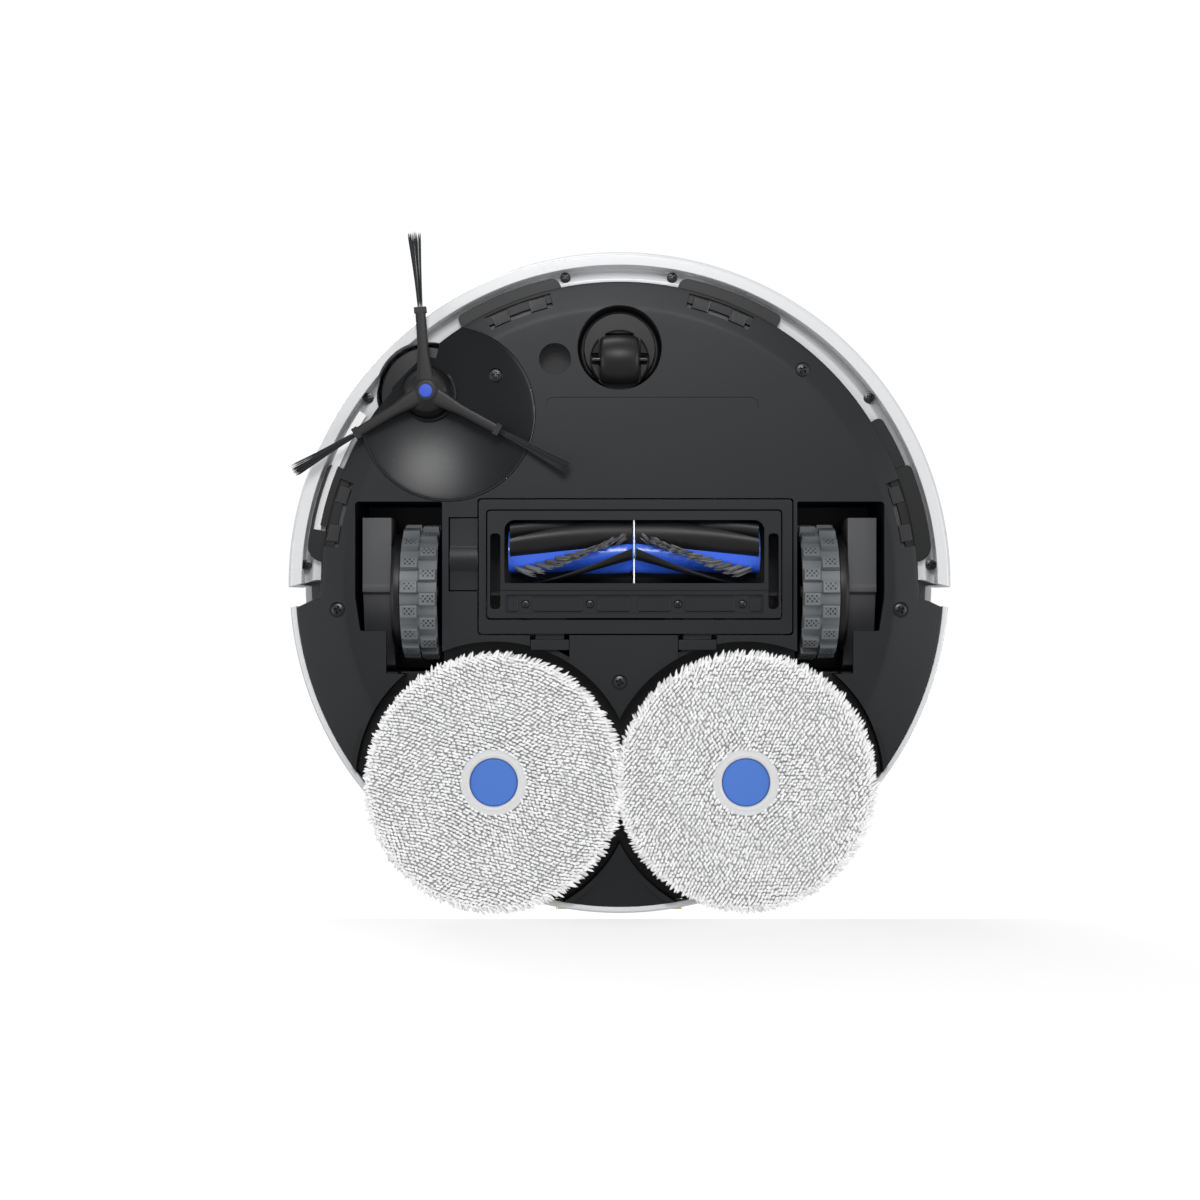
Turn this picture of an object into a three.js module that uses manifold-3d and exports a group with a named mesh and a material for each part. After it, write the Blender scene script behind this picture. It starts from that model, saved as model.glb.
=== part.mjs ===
// Robot vacuum with two spinning mop pads, modelled in millimetres with +Z up.
// It stands on its wheels at z = 0. Its front, the bumper, faces -Y.
import * as THREE from "three";
import { mergeVertices } from "three/addons/utils/BufferGeometryUtils.js";
import Module from "manifold-3d";

const wasm = await Module();
wasm.setup();

// ---- Driving dimensions -------------------------------------------------

const GAP = 0.35;               // running gap between neighbouring pieces
const BODY_SHIFT_Y = 4;         // puts the middle of the whole outline on the origin
const BODY_R = 175;             // rear shell and top shell
const BODY_TOP = 82;
const WALL = 2.8;

const BASE_Z = 11;              // ground clearance of the base
const BASE_T = 3;
const RIM_START_R = 144.4;      // where the base rim starts to slope up
const RIM_R = 171.2;
const RIM_Z = 17;
const FRONT_R = 158;            // base edge behind the bumper

const BUMPER_R = 175.5;
const BUMPER_Z = 15;
const BUMPER_TOP = 74.6;
const FLANGE_Z = 19.6;
const FLANGE_R = 158.2;

const WHEEL = { x0: 95.8, x1: 115.2, y: 5, z: 36.5, r: 36.5, bore: 29.8, lugs: 17 };
const WELL = { x0: 93.3, x1: 139.2, x2: 122.8, y0: -42.8, y1: 7.4, y2: 25.3, y3: 47.9 };
const ARM_PIVOT = { y: 40, z: 44 };

const COVER = { x0: -74, x1: 90.6, y0: -43.8, y1: 26.7, z0: 10.2, z1: 12.4 };
const WINDOW = { x0: -60.5, x1: 75.9, y0: -33, y1: 0.2, corner: 6 };
const ROLLER = { y: -16.5, z: 23, core: 11.5, tip: 18.5, gapX: 7.5, gap: 2.6 };

const BRUSH_BAY = { x: -90.5, y: -89, r: 45.2 };
const BRUSH_HUB = { x: -101.4, y: -100.4, r: 12.9, holder: 44, reach: 80.5 };
const BRISTLE_ANGLES = [-94, 27.7, 148.5];

const CASTER = { y: -123.8, r: 22.3, trail: 6.1, wheelR: 13, wheelW: 19.5 };
const MOP = { x: 65.8, y: 104.2, r: 65.4, disc: 60, pocket: 73.4, pocketWall: 76, roof: 24 };
const LIDAR = { y: 42, r: 38.5, hole: 33, top: 98 };
const LID = { x: 74, y0: -134, y1: -56, corner: 22 };
const CLIFF = { azimuths: [20.2, 76.2], spread: 6.7, r0: 149.2, r1: 157 };
const BASE_SCREWS = [[96.4, -112], [-148.6, 14.2], [147.9, 14.2], [0, 52.4]];

const FINE = 60;                // facets round the large shells
const MEDIUM = 24;
const SMALL = 12;

// ---- Finishes -------------------------------------------------------------

function finish(color, roughness, metalness = 0) {
  return new THREE.MeshStandardMaterial({ color, roughness, metalness });
}

const BLACK_PLASTIC = finish(0x3a3b3d, 0.55);
const GREY_PLASTIC = finish(0x55565a, 0.5);
const WHITE_PLASTIC = finish(0xeff0f2, 0.3);
const GLOSS_BLACK = finish(0x101113, 0.12);
const RUBBER = finish(0x8d9195, 0.8);
const BLACK_RUBBER = finish(0x1c1d1f, 0.7);
const BLUE_PLASTIC = finish(0x3a66d6, 0.4);
const NYLON = finish(0x15171a, 0.6);
const MICROFIBRE = finish(0xd3d4d4, 0.95);
const STEEL = finish(0xc9ccd0, 0.25, 1);
const GREEN_BOARD = finish(0x1f5a3c, 0.5);
const BATTERY_WRAP = finish(0x2a4a6a, 0.5);
const SMOKE_PLASTIC = finish(0x6f7478, 0.2);
const BRASS = finish(0xc8a24a, 0.3, 1);

// ---- Shape helpers ----------------------------------------------------------

/** Turns a three.js geometry into a solid that can be cut and joined. */
function toSolid(geometry) {
  const bare = geometry.clone();
  bare.deleteAttribute("normal");
  bare.deleteAttribute("uv");
  const merged = mergeVertices(bare, 1e-4);
  const index = merged.index.array;
  const kept = [];
  for (let i = 0; i < index.length; i += 3) {
    const [a, b, c] = [index[i], index[i + 1], index[i + 2]];
    if (a !== b && b !== c && a !== c) kept.push(a, b, c);
  }
  const mesh = new wasm.Mesh({
    numProp: 3,
    vertProperties: new Float32Array(merged.attributes.position.array),
    triVerts: new Uint32Array(kept),
  });
  return new wasm.Manifold(mesh);
}

/** Turns a solid back into a three.js geometry, with its flat faces joined up. */
function toGeometry(solid) {
  const mesh = solid.asOriginal().getMesh();
  const geometry = new THREE.BufferGeometry();
  geometry.setAttribute("position", new THREE.BufferAttribute(mesh.vertProperties, 3));
  geometry.setIndex(new THREE.BufferAttribute(mesh.triVerts, 1));
  return geometry;
}

/** A block between two corners. */
function block(x0, x1, y0, y1, z0, z1) {
  const geometry = new THREE.BoxGeometry(x1 - x0, y1 - y0, z1 - z0);
  geometry.translate((x0 + x1) / 2, (y0 + y1) / 2, (z0 + z1) / 2);
  return toSolid(geometry);
}

/** An upright round bar. */
function drum(x, y, r, z0, z1, facets = MEDIUM) {
  const geometry = new THREE.CylinderGeometry(r, r, z1 - z0, facets);
  geometry.rotateX(Math.PI / 2);
  geometry.translate(x, y, (z0 + z1) / 2);
  return toSolid(geometry);
}

/** A round bar lying along X. */
function axleBar(x0, x1, y, z, r, facets = MEDIUM) {
  const geometry = new THREE.CylinderGeometry(r, r, x1 - x0, facets);
  geometry.rotateZ(Math.PI / 2);
  geometry.translate((x0 + x1) / 2, y, z);
  return toSolid(geometry);
}

/** A solid of revolution about Z through (x, y), from (radius, height) points. */
function turned(profile, facets = FINE, x = 0, y = 0) {
  let area = 0;
  profile.forEach(([r, z], i) => {
    const [r2, z2] = profile[(i + 1) % profile.length];
    area += r * z2 - r2 * z;
  });
  const ordered = area > 0 ? profile : [...profile].reverse();
  const points = ordered.map(([r, z]) => new THREE.Vector2(r, z));
  points.push(points[0].clone());
  const geometry = new THREE.LatheGeometry(points, facets);
  geometry.rotateX(Math.PI / 2);
  geometry.translate(x, y, 0);
  return toSolid(geometry);
}

/** A prism of an outline in the XY plane. */
function prism(outline, z0, z1) {
  const shape = new THREE.Shape(outline.map(([x, y]) => new THREE.Vector2(x, y)));
  const geometry = new THREE.ExtrudeGeometry(shape, { depth: z1 - z0, bevelEnabled: false });
  geometry.translate(0, 0, z0);
  return toSolid(geometry);
}

/** A prism of an outline in the YZ plane, from x0 to x1. */
function sidePrism(outline, x0, x1) {
  const shape = new THREE.Shape(outline.map(([y, z]) => new THREE.Vector2(y, z)));
  const geometry = new THREE.ExtrudeGeometry(shape, { depth: x1 - x0, bevelEnabled: false });
  geometry.rotateZ(Math.PI / 2);
  geometry.rotateY(Math.PI / 2);
  geometry.translate(x0, 0, 0);
  return toSolid(geometry);
}

/** Points of a rectangle with rounded corners. */
function roundedRectangle(x0, x1, y0, y1, r, steps = 5) {
  const centres = [[x1 - r, y1 - r, 0], [x0 + r, y1 - r, 90], [x0 + r, y0 + r, 180], [x1 - r, y0 + r, 270]];
  const points = [];
  for (const [cx, cy, start] of centres) {
    for (let i = 0; i <= steps; i += 1) {
      const angle = THREE.MathUtils.degToRad(start + (90 * i) / steps);
      points.push([cx + r * Math.cos(angle), cy + r * Math.sin(angle)]);
    }
  }
  return points;
}

/** Point at an azimuth in degrees, counted from the front towards +X. */
function atAzimuth(r, degrees) {
  const angle = THREE.MathUtils.degToRad(degrees);
  return [r * Math.sin(angle), -r * Math.cos(angle)];
}

/** A piece of a ring between two azimuths. */
function ringSector(r0, r1, from, to, z0, z1, steps = 8) {
  const outline = [];
  for (let i = 0; i <= steps; i += 1) outline.push(atAzimuth(r1, from + ((to - from) * i) / steps));
  for (let i = steps; i >= 0; i -= 1) outline.push(atAzimuth(r0, from + ((to - from) * i) / steps));
  return prism(outline, z0, z1);
}

/** The same solid on the other side of the centre plane. */
function mirrored(solid) {
  return solid.mirror([1, 0, 0]);
}

/** A named mesh with its finish. */
function piece(name, solid, material) {
  const mesh = new THREE.Mesh(toGeometry(solid), material);
  mesh.name = name;
  return mesh;
}

/** A group of pieces that belong together. */
function assembly(...pieces) {
  const group = new THREE.Group();
  group.add(...pieces);
  return group;
}

const SIDES = [["left", 1], ["right", -1]];

/** Gives a +X solid to one side: the robot's left is +X, its right -X. */
function onSide(solid, side) {
  return side > 0 ? solid : mirrored(solid);
}

// ---- Chassis ----------------------------------------------------------------

/** Everything in front of the slanted ends of the bumper, outside radius r. */
function frontZone(r, innerY, outerY) {
  const slope = (outerY - innerY) / (BUMPER_R - 161);
  const farY = innerY + slope * (200 - 161);
  const zone = prism([[-200, -200], [200, -200], [200, farY], [161, innerY], [-161, innerY], [-200, farY]], 0, 90);
  return zone.subtract(drum(0, 0, r, -1, 91, FINE));
}

/** Outline of a drive wheel's well through the base. */
function wheelWell() {
  const { x0, x1, x2, y0, y1, y2, y3 } = WELL;
  const outline = [[x0, y0], [x1, y0], [x1, y1], [x1 - 2.7, y2], [x2, y2], [x2, y3], [x0, y3]];
  return prism(outline, 0, BODY_TOP);
}

/** Both mop pockets as round bars. */
function mopPockets(r, z0, z1) {
  return drum(-MOP.x, MOP.y, r, z0, z1, 48).add(drum(MOP.x, MOP.y, r, z0, z1, 48));
}

/** The whole floor of the robot, before it is split in two mouldings. */
function floorMoulding() {
  const disc = turned([
    [0, BASE_Z], [RIM_START_R, BASE_Z], [RIM_R, RIM_Z],
    [RIM_R, RIM_Z + 2], [RIM_START_R, BASE_Z + BASE_T], [0, BASE_Z + BASE_T],
  ]);
  let plate = disc.subtract(frontZone(FRONT_R, 8.5, 15));
  const tabs = [
    [-52, -40.5, 164.4], [11.2, 31.6, 164.4], [-31.6, -11.2, 164.4],
    [57.4, 85, 163.4], [67.5, 85, 165.8], [-85, -67.5, 165.8],
  ];
  for (const [from, to, r] of tabs) {
    plate = plate.add(disc.intersect(ringSector(FRONT_R - 2, r, from, to, 0, 40)));
  }
  plate = plate.subtract(ringSector(160.3, 164.2, -80, -57, 0, 40));
  const pockets = mopPockets(MOP.pocketWall, BASE_Z, MOP.roof + BASE_T);
  plate = plate.add(pockets.intersect(drum(0, 0, RIM_R, 0, 60, FINE)));
  plate = plate.subtract(mopPockets(MOP.pocket, 0, MOP.roof));
  const posts = [[64, 13], [105, 13], [5, 13], [170, MOP.roof + 1]];
  for (const [azimuth, foot] of posts) {
    const [x, y] = atAzimuth(152, azimuth);
    const post = drum(x, y, 3.4, foot, 27.6, 6);
    plate = plate.add(post).add(mirrored(post));
  }
  const holes = [
    wheelWell(),
    mirrored(wheelWell()),
    block(COVER.x0 - 0.4, COVER.x1 + 0.4, COVER.y0 - 0.4, COVER.y1 + 0.4, 0, 30),
    block(-90, COVER.x0, -34.6, 4.5, 0, 30),
    block(-47.2, -26.4, 20, 41, 0, 30),
    block(30.6, 51.2, 20, 41, 0, 30),
    drum(0, CASTER.y, CASTER.r, 0, 30, 40),
    drum(BRUSH_BAY.x, BRUSH_BAY.y, BRUSH_BAY.r + GAP, 0, 30, 48),
    drum(-34, -117.7, 8.4, 0, 30, 32),
    drum(-MOP.x, MOP.y, 9, 0, 40),
    drum(MOP.x, MOP.y, 9, 0, 40),
    prism(batteryOutline(0), 0, 30),
  ];
  for (const azimuth of CLIFF.azimuths) {
    const slot = ringSector(CLIFF.r0, CLIFF.r1, azimuth - CLIFF.spread, azimuth + CLIFF.spread, 0, 24, 4);
    holes.push(slot, mirrored(slot));
  }
  for (const [x, y] of BASE_SCREWS) holes.push(drum(x, y, 4.2, 0, BASE_Z + 1.8 + screwRise(x, y), SMALL));
  for (const hole of holes) plate = plate.subtract(hole);
  return plate;
}

/** Where the rear moulding, which carries the mop pads, takes over from the base plate. */
function mopBayZone(gap) {
  const tongue = block(-27 - gap, 31 + gap, 20, MOP.y, 0, 60);
  return mopPockets(MOP.pocketWall + gap, 0, 60).add(tongue).add(block(-60, 60, MOP.y, 190, 0, 60));
}

function basePlate() {
  return floorMoulding().subtract(mopBayZone(GAP));
}

function mopBay() {
  return floorMoulding().intersect(mopBayZone(0));
}

/** How far the sloping rim stands above the flat of the base at a point. */
function screwRise(x, y) {
  const out = Math.hypot(x, y) - RIM_START_R;
  return Math.max(0, (out * (RIM_Z - BASE_Z)) / (RIM_R - RIM_START_R));
}

function batteryOutline(inset) {
  return roundedRectangle(-38.7 + inset, 72.7 - inset, -97.5 + inset, -47.5 - inset, 4, 3);
}

function batteryPack() {
  let pack = block(-34, 56, -95, -50, 16, 34);
  for (let row = 0; row < 5; row += 1) {
    pack = pack.add(axleBar(-34, 56, -90.9 + 9.1 * row, 34, 4.4, SMALL));
  }
  return pack;
}

function rearShell() {
  let shell = turned([
    [BODY_R - 3.4, 17.5], [BODY_R - 1, 17.5], [BODY_R, 19], [BODY_R, BUMPER_TOP + 0.1],
    [BODY_R - WALL, BUMPER_TOP + 0.1], [BODY_R - WALL, 21.5], [BODY_R - 3.4, 20.5],
  ]);
  shell = shell.subtract(frontZone(0.5, 10.1, 13)).subtract(block(-161, 161, -200, 10, 0, 90));
  for (const side of [-1, 1]) {
    const x = side * (BODY_R - 7);
    shell = shell.add(block(Math.min(x, x + side * 4.5), Math.max(x, x + side * 4.5), 14.5, 17, 19.8, 74));
    shell = shell.subtract(block(side * 28 - 6.4, side * 28 + 6.4, 160, 190, 29.6, 48.4));
  }
  for (let row = 0; row < 4; row += 1) {
    const z = 34 + 6 * row;
    shell = shell.subtract(ringSector(165, 185, 112, 128, z, z + 2.4));
  }
  return shell;
}

function chargeContact(side) {
  const x = side * 28;
  const face = turned([[BODY_R - WALL, 30], [BODY_R - 0.4, 30], [BODY_R - 0.4, 48], [BODY_R - WALL, 48]]);
  return face.intersect(block(x - 6, x + 6, 150, 190, 0, 90));
}

function topShell() {
  let shell = turned([
    [0, BODY_TOP], [162, BODY_TOP], [169, BODY_TOP - 1.4], [173.6, BODY_TOP - 4.4],
    [BODY_R, BUMPER_TOP + 0.6], [BODY_R - WALL, BUMPER_TOP + 0.6], [167, BODY_TOP - 2.7], [0, BODY_TOP - 2.7],
  ]);
  shell = shell.subtract(drum(0, LIDAR.y, LIDAR.hole, 70, 90, 40));
  shell = shell.subtract(prism(roundedRectangle(-LID.x, LID.x, LID.y0, LID.y1, LID.corner), 70, 90));
  return shell.subtract(drum(0, -28, 7.4, 70, 90, 32));
}

function chassisWall() {
  const ring = turned([[150.5, 28], [153.5, 28], [153.5, 74.8], [150.5, 74.8]], 48);
  return ring.subtract(drum(BRUSH_HUB.x, BRUSH_HUB.y, 13, 20, 50, 32));
}

function brushHousing() {
  const { x0, x1 } = COVER;
  let shell = block(x0, x1, -43.2, 7, BASE_Z + BASE_T + 0.4, 46);
  shell = shell.subtract(block(x0 + 2, x1 - 2, -41.2, 5, 0, 44));
  return shell.subtract(block(-24, 40, -38, -18, 40, 50));
}

function brushGearbox() {
  const x0 = -89.6;
  const x1 = COVER.x0 - 0.4;
  let box = block(x0, x1, -34.2, 4.1, 12.2, 44);
  box = box.add(axleBar(x0, x1, -12.6, 22, 12, MEDIUM));
  return box.subtract(axleBar(x1 - 3, x1 + 1, ROLLER.y, ROLLER.z, 4.4, SMALL));
}

function suctionFan() {
  const fan = turned([
    [0, 18], [20, 18], [24, 22], [24, 44], [16, 50], [9, 50], [9, 40], [0, 40],
  ], MEDIUM, 93, -78);
  return fan.add(block(93, 106, -99, -88, 22, 40));
}

function dustBin() {
  let bin = prism(roundedRectangle(-68, 68, -131, -59, 14), 47, 74);
  bin = bin.subtract(block(-30, 30, -124, -106, 66, 80));
  return bin.add(block(-6, 6, -124.5, -105.5, 68, 72));
}

function mainBoard() {
  let board = block(-60, 60, -42, 8, 50, 51.6);
  board = board.add(block(-20, 4, -28, -6, 51, 53.4));
  board = board.add(block(18, 34, -30, -14, 51, 53));
  return board.add(block(44, 56, -34, -10, 51, 60));
}

function waterTank() {
  const outline = roundedRectangle(-92, 92, 80, 116, 10);
  return prism(outline, 58, 77).subtract(drum(60, 98, 8, 72, 80, SMALL));
}

function wheelHousing() {
  let shell = block(91.5, 141.5, -44.8, 49, BASE_Z + BASE_T + 1.6, 76.5);
  shell = shell.subtract(block(93.3, 139.7, -43, 47.2, 0, 74.6));
  return shell.subtract(mopPockets(MOP.pocketWall + 0.4, 0, MOP.roof + BASE_T + 0.4));
}

function cliffSensor(azimuth) {
  const { spread, r0, r1 } = CLIFF;
  let sensor = ringSector(r0 - 0.2, r1 + 0.8, azimuth - spread - 0.5, azimuth + spread + 0.5, 22.6, 27, 4);
  for (const offset of [-3.3, 3.3]) {
    const [x, y] = atAzimuth((r0 + r1) / 2 - 0.7, azimuth + offset);
    sensor = sensor.add(drum(x, y, 2.9, 16.6, 23, SMALL));
  }
  return sensor;
}

function carpetSensor() {
  return turned([[0, 17.5], [5.5, 17.5], [5.5, 15.6], [8, 15.6], [8, 34], [0, 34]], 32, -34, -117.7);
}

/** The moulded bay that carries the side brush, with its shallow dish. */
function sideBrushBay() {
  const { x, y, r } = BRUSH_BAY;
  let bay = drum(x, y, r, 10.6, 13.8, 48).intersect(drum(0, 0, FRONT_R - 0.3, 0, 40, FINE));
  const dish = turned([[0, 12.3], [14, 12.1], [27, 11.5], [38, 10.5], [38, 8], [0, 8]], 36, -91, -79);
  bay = bay.subtract(dish);
  bay = bay.subtract(drum(-65.4, -109.4, 3.7, 0, 12.2, SMALL));
  return bay.subtract(drum(BRUSH_HUB.x, BRUSH_HUB.y, BRUSH_HUB.r + 0.7, 0, 20, MEDIUM));
}

function sideBrushMotor() {
  return turned([[0, 26], [9, 26], [12, 29], [12, 46], [0, 46]], 32, BRUSH_HUB.x, BRUSH_HUB.y);
}

function casterSocket() {
  return turned([
    [4.6, 30], [CASTER.r, 30], [CASTER.r, 15.2], [CASTER.r + 2.4, 15.2],
    [CASTER.r + 2.4, 32.5], [8, 32.5], [8, 44], [4.6, 44],
  ], 32, 0, CASTER.y);
}

function chassis() {
  const pieces = [
    piece("base_plate", basePlate(), BLACK_PLASTIC),
    piece("mop_bay", mopBay(), BLACK_PLASTIC),
    piece("rear_shell", rearShell(), WHITE_PLASTIC),
    piece("top_shell", topShell(), WHITE_PLASTIC),
    piece("chassis_wall", chassisWall(), GREY_PLASTIC),
    piece("battery_cover", prism(batteryOutline(GAP), BASE_Z, BASE_Z + BASE_T), BLACK_PLASTIC),
    piece("battery_pack", batteryPack(), BATTERY_WRAP),
    piece("brush_housing", brushHousing(), BLACK_PLASTIC),
    piece("brush_gearbox", brushGearbox(), GREY_PLASTIC),
    piece("suction_fan", suctionFan(), GREY_PLASTIC),
    piece("dust_bin", dustBin(), SMOKE_PLASTIC),
    piece("main_board", mainBoard(), GREEN_BOARD),
    piece("water_tank", waterTank(), SMOKE_PLASTIC),
    piece("side_brush_bay", sideBrushBay(), BLACK_PLASTIC),
    piece("side_brush_motor", sideBrushMotor(), STEEL),
    piece("caster_socket", casterSocket(), BLACK_PLASTIC),
    piece("carpet_sensor", carpetSensor(), GLOSS_BLACK),
  ];
  for (const [name, side] of SIDES) {
    pieces.push(piece(`${name}_wheel_housing`, onSide(wheelHousing(), side), BLACK_PLASTIC));
    pieces.push(piece(`${name}_charge_contact`, chargeContact(side), BRASS));
    pieces.push(piece(`${name}_front_cliff_sensor`, onSide(cliffSensor(CLIFF.azimuths[0]), side), GLOSS_BLACK));
    pieces.push(piece(`${name}_side_cliff_sensor`, onSide(cliffSensor(CLIFF.azimuths[1]), side), GLOSS_BLACK));
  }
  return assembly(...pieces);
}

// ---- Top of the robot -----------------------------------------------------

function lidarCover() {
  const foot = BODY_TOP + 0.3;
  let cover = turned([
    [LIDAR.hole, foot], [LIDAR.r + 2, foot], [LIDAR.r + 1, foot + 2], [LIDAR.hole, foot + 2],
  ], 28, 0, LIDAR.y);
  cover = cover.add(turned([
    [0, 93.4], [LIDAR.r - 3, 93.4], [LIDAR.r - 1, 94.4], [LIDAR.r - 3, LIDAR.top - 1], [LIDAR.r - 8, LIDAR.top],
    [0, LIDAR.top],
  ], 28, 0, LIDAR.y));
  for (const azimuth of [60, 180, 300]) {
    const post = ringSector(LIDAR.hole, LIDAR.r - 2, azimuth - 7, azimuth + 7, foot + 0.5, 94, 3);
    cover = cover.add(post.translate([0, LIDAR.y, 0]));
  }
  return cover;
}

function lidarRotor() {
  const rotor = turned([[0, 79.2], [28, 79.2], [28, 92.4], [0, 92.4]], 32, 0, LIDAR.y);
  return rotor.subtract(block(-9, 9, LIDAR.y - 30, LIDAR.y - 22, 84, 90));
}

function topParts() {
  const lidOutline = roundedRectangle(
    -LID.x + 0.5, LID.x - 0.5, LID.y0 + 0.5, LID.y1 - 0.5, LID.corner - 0.5);
  const lid = prism(lidOutline, BODY_TOP - 2.4, BODY_TOP)
    .subtract(turned([[0, 90], [12, 90], [12, 82], [9, 80.6], [0, 80.6]], 32, 0, LID.y0 + 14));
  const button = turned([[0, 77], [7, 77], [7, 81.9], [6.4, 82.5], [0, 82.5]], 32, 0, -28);
  return assembly(
    piece("lidar_base", drum(0, LIDAR.y, 34, 68, 78.6, 32), BLACK_PLASTIC),
    piece("lidar_rotor", lidarRotor(), GLOSS_BLACK),
    piece("lidar_cover", lidarCover(), WHITE_PLASTIC),
    piece("top_lid", lid, WHITE_PLASTIC),
    piece("power_button", button, WHITE_PLASTIC),
  );
}

// ---- Bumper ------------------------------------------------------------------

function bumperParts() {
  let shell = turned([
    [FLANGE_R, FLANGE_Z], [166.9, FLANGE_Z], [167.8, BUMPER_Z + 0.4], [173.4, BUMPER_Z],
    [175, BUMPER_Z + 1.4], [BUMPER_R, BUMPER_Z + 3.5], [BUMPER_R, 71.5], [174.2, BUMPER_TOP],
    [172, BUMPER_TOP], [172, 22.2], [FLANGE_R, 22.2],
  ], FINE);
  shell = shell.intersect(frontZone(20, -1.7, 2.2));
  shell = shell.subtract(ringSector(168, 185, -13, 13, 34, 58));
  const window = turned([
    [172.3, 34.3], [BUMPER_R - 0.5, 34.3], [BUMPER_R - 0.5, 57.7], [172.3, 57.7],
  ], FINE).intersect(ringSector(160, 185, -12.8, 12.8, 30, 60));
  return assembly(
    piece("bumper", shell, WHITE_PLASTIC),
    piece("front_window", window, GLOSS_BLACK),
  );
}

// ---- Side brush -----------------------------------------------------------

/** Lays a box-like arm out along +X from the hub and turns it to its angle. */
function aroundHub(solid, degrees) {
  return solid.rotate([0, 0, degrees]).translate([BRUSH_HUB.x, BRUSH_HUB.y, 0]);
}

function bristleBundle() {
  const { holder, reach } = BRUSH_HUB;
  const ends = [
    { x: holder + 0.4, half: 1.7, z0: 4.9, z1: 7.4 },
    { x: reach, half: 3.6, z0: 0.9, z1: 3.2 },
  ];
  const positions = ends.flatMap(({ x, half, z0, z1 }) => [
    x, -half, z0, x, half, z0, x, half, z1, x, -half, z1,
  ]);
  const geometry = new THREE.BufferGeometry();
  geometry.setAttribute("position", new THREE.Float32BufferAttribute(positions, 3));
  geometry.setIndex([
    0, 2, 1, 0, 3, 2, 4, 5, 6, 4, 6, 7,
    0, 1, 5, 0, 5, 4, 1, 2, 6, 1, 6, 5, 2, 3, 7, 2, 7, 6, 3, 0, 4, 3, 4, 7,
  ]);
  return toSolid(geometry);
}

function sideBrush() {
  let hub = turned([
    [0, 4.4], [6, 4.8], [10, 6.4], [12.4, 9], [BRUSH_HUB.r, 11], [BRUSH_HUB.r, 14], [4, 14],
    [4, 25.6], [0, 25.6],
  ], MEDIUM, BRUSH_HUB.x, BRUSH_HUB.y);
  for (const angle of BRISTLE_ANGLES) {
    const outline = [[4, -4.4], [20, -3.4], [BRUSH_HUB.holder, -2.7], [BRUSH_HUB.holder, 2.7], [20, 3.4], [4, 4.4]];
    hub = hub.add(aroundHub(prism(outline, 4.9, 8.4), angle));
  }
  hub = hub.subtract(drum(BRUSH_HUB.x, BRUSH_HUB.y, 3.9, 0, 5.8, SMALL));
  const cap = turned([[0, 4], [3, 4], [3.6, 4.5], [3.6, 5.5], [0, 5.5]], 24, BRUSH_HUB.x, BRUSH_HUB.y);
  const group = assembly(
    piece("side_brush_hub", hub, BLACK_RUBBER),
    piece("side_brush_cap", cap, BLUE_PLASTIC),
  );
  BRISTLE_ANGLES.forEach((angle, i) => {
    group.add(piece(`side_brush_bristles_${i + 1}`, aroundHub(bristleBundle(), angle), NYLON));
  });
  return group;
}

// ---- Front caster -----------------------------------------------------------

function caster() {
  const wheelY = CASTER.y + CASTER.trail;
  const half = CASTER.wheelW / 2;
  let fork = turned([
    [0, 7.6], [12, 8.4], [15.2, 11.5], [16.2, 16], [16.2, 24], [12, 28.6], [4, 28.6],
    [4, 43], [0, 43],
  ], MEDIUM, 0, CASTER.y);
  fork = fork.subtract(block(-half - 0.7, half + 0.7, wheelY - 14.2, wheelY + 16, 0, 27.2));
  fork = fork.subtract(axleBar(-20, 20, wheelY, CASTER.wheelR, 1.95, SMALL));
  const wheel = new THREE.LatheGeometry(
    [[2, -half], [11.6, -half], [CASTER.wheelR, -half + 5], [CASTER.wheelR, half - 5], [11.6, half],
      [2, half], [2, -half]].map(([r, along]) => new THREE.Vector2(r, along)), 28);
  wheel.rotateZ(-Math.PI / 2);
  wheel.translate(0, wheelY, CASTER.wheelR);
  return assembly(
    piece("caster_fork", fork, BLACK_PLASTIC),
    piece("caster_wheel", toSolid(wheel), BLACK_RUBBER),
    piece("caster_axle", axleBar(-14.6, 14.6, wheelY, CASTER.wheelR, 1.6, SMALL), STEEL),
  );
}

// ---- Drive wheels -------------------------------------------------------------

/** One row of saw-tooth lugs round the tyre. */
function lugRow(x0, x1, phase) {
  const points = [];
  for (let i = 0; i < WHEEL.lugs; i += 1) {
    const steps = [[0, WHEEL.r - 2.4], [0.04, WHEEL.r - 0.2], [0.5, WHEEL.r]];
    for (const [part, r] of steps) {
      const angle = (2 * Math.PI * (i + part + phase)) / WHEEL.lugs;
      points.push([WHEEL.y + r * Math.cos(angle), WHEEL.z + r * Math.sin(angle)]);
    }
  }
  return sidePrism(points, x0, x1);
}

function tyre() {
  const middle = (WHEEL.x0 + WHEEL.x1) / 2;
  const rows = lugRow(WHEEL.x0, middle + 0.1, 0).add(lugRow(middle, WHEEL.x1, 0.5));
  return rows.subtract(axleBar(WHEEL.x0 - 1, WHEEL.x1 + 1, WHEEL.y, WHEEL.z, WHEEL.bore, 36));
}

function rim() {
  const { x0, x1, y, z, bore } = WHEEL;
  let disc = axleBar(x0 + 0.6, x1 + 0.5, y, z, bore - GAP, 36);
  disc = disc.add(axleBar(x1 + 0.4, x1 + 5, y, z, 30.2, 36));
  return disc.subtract(axleBar(x0 - 1, x1 + 6, y, z, 4, SMALL));
}

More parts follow.
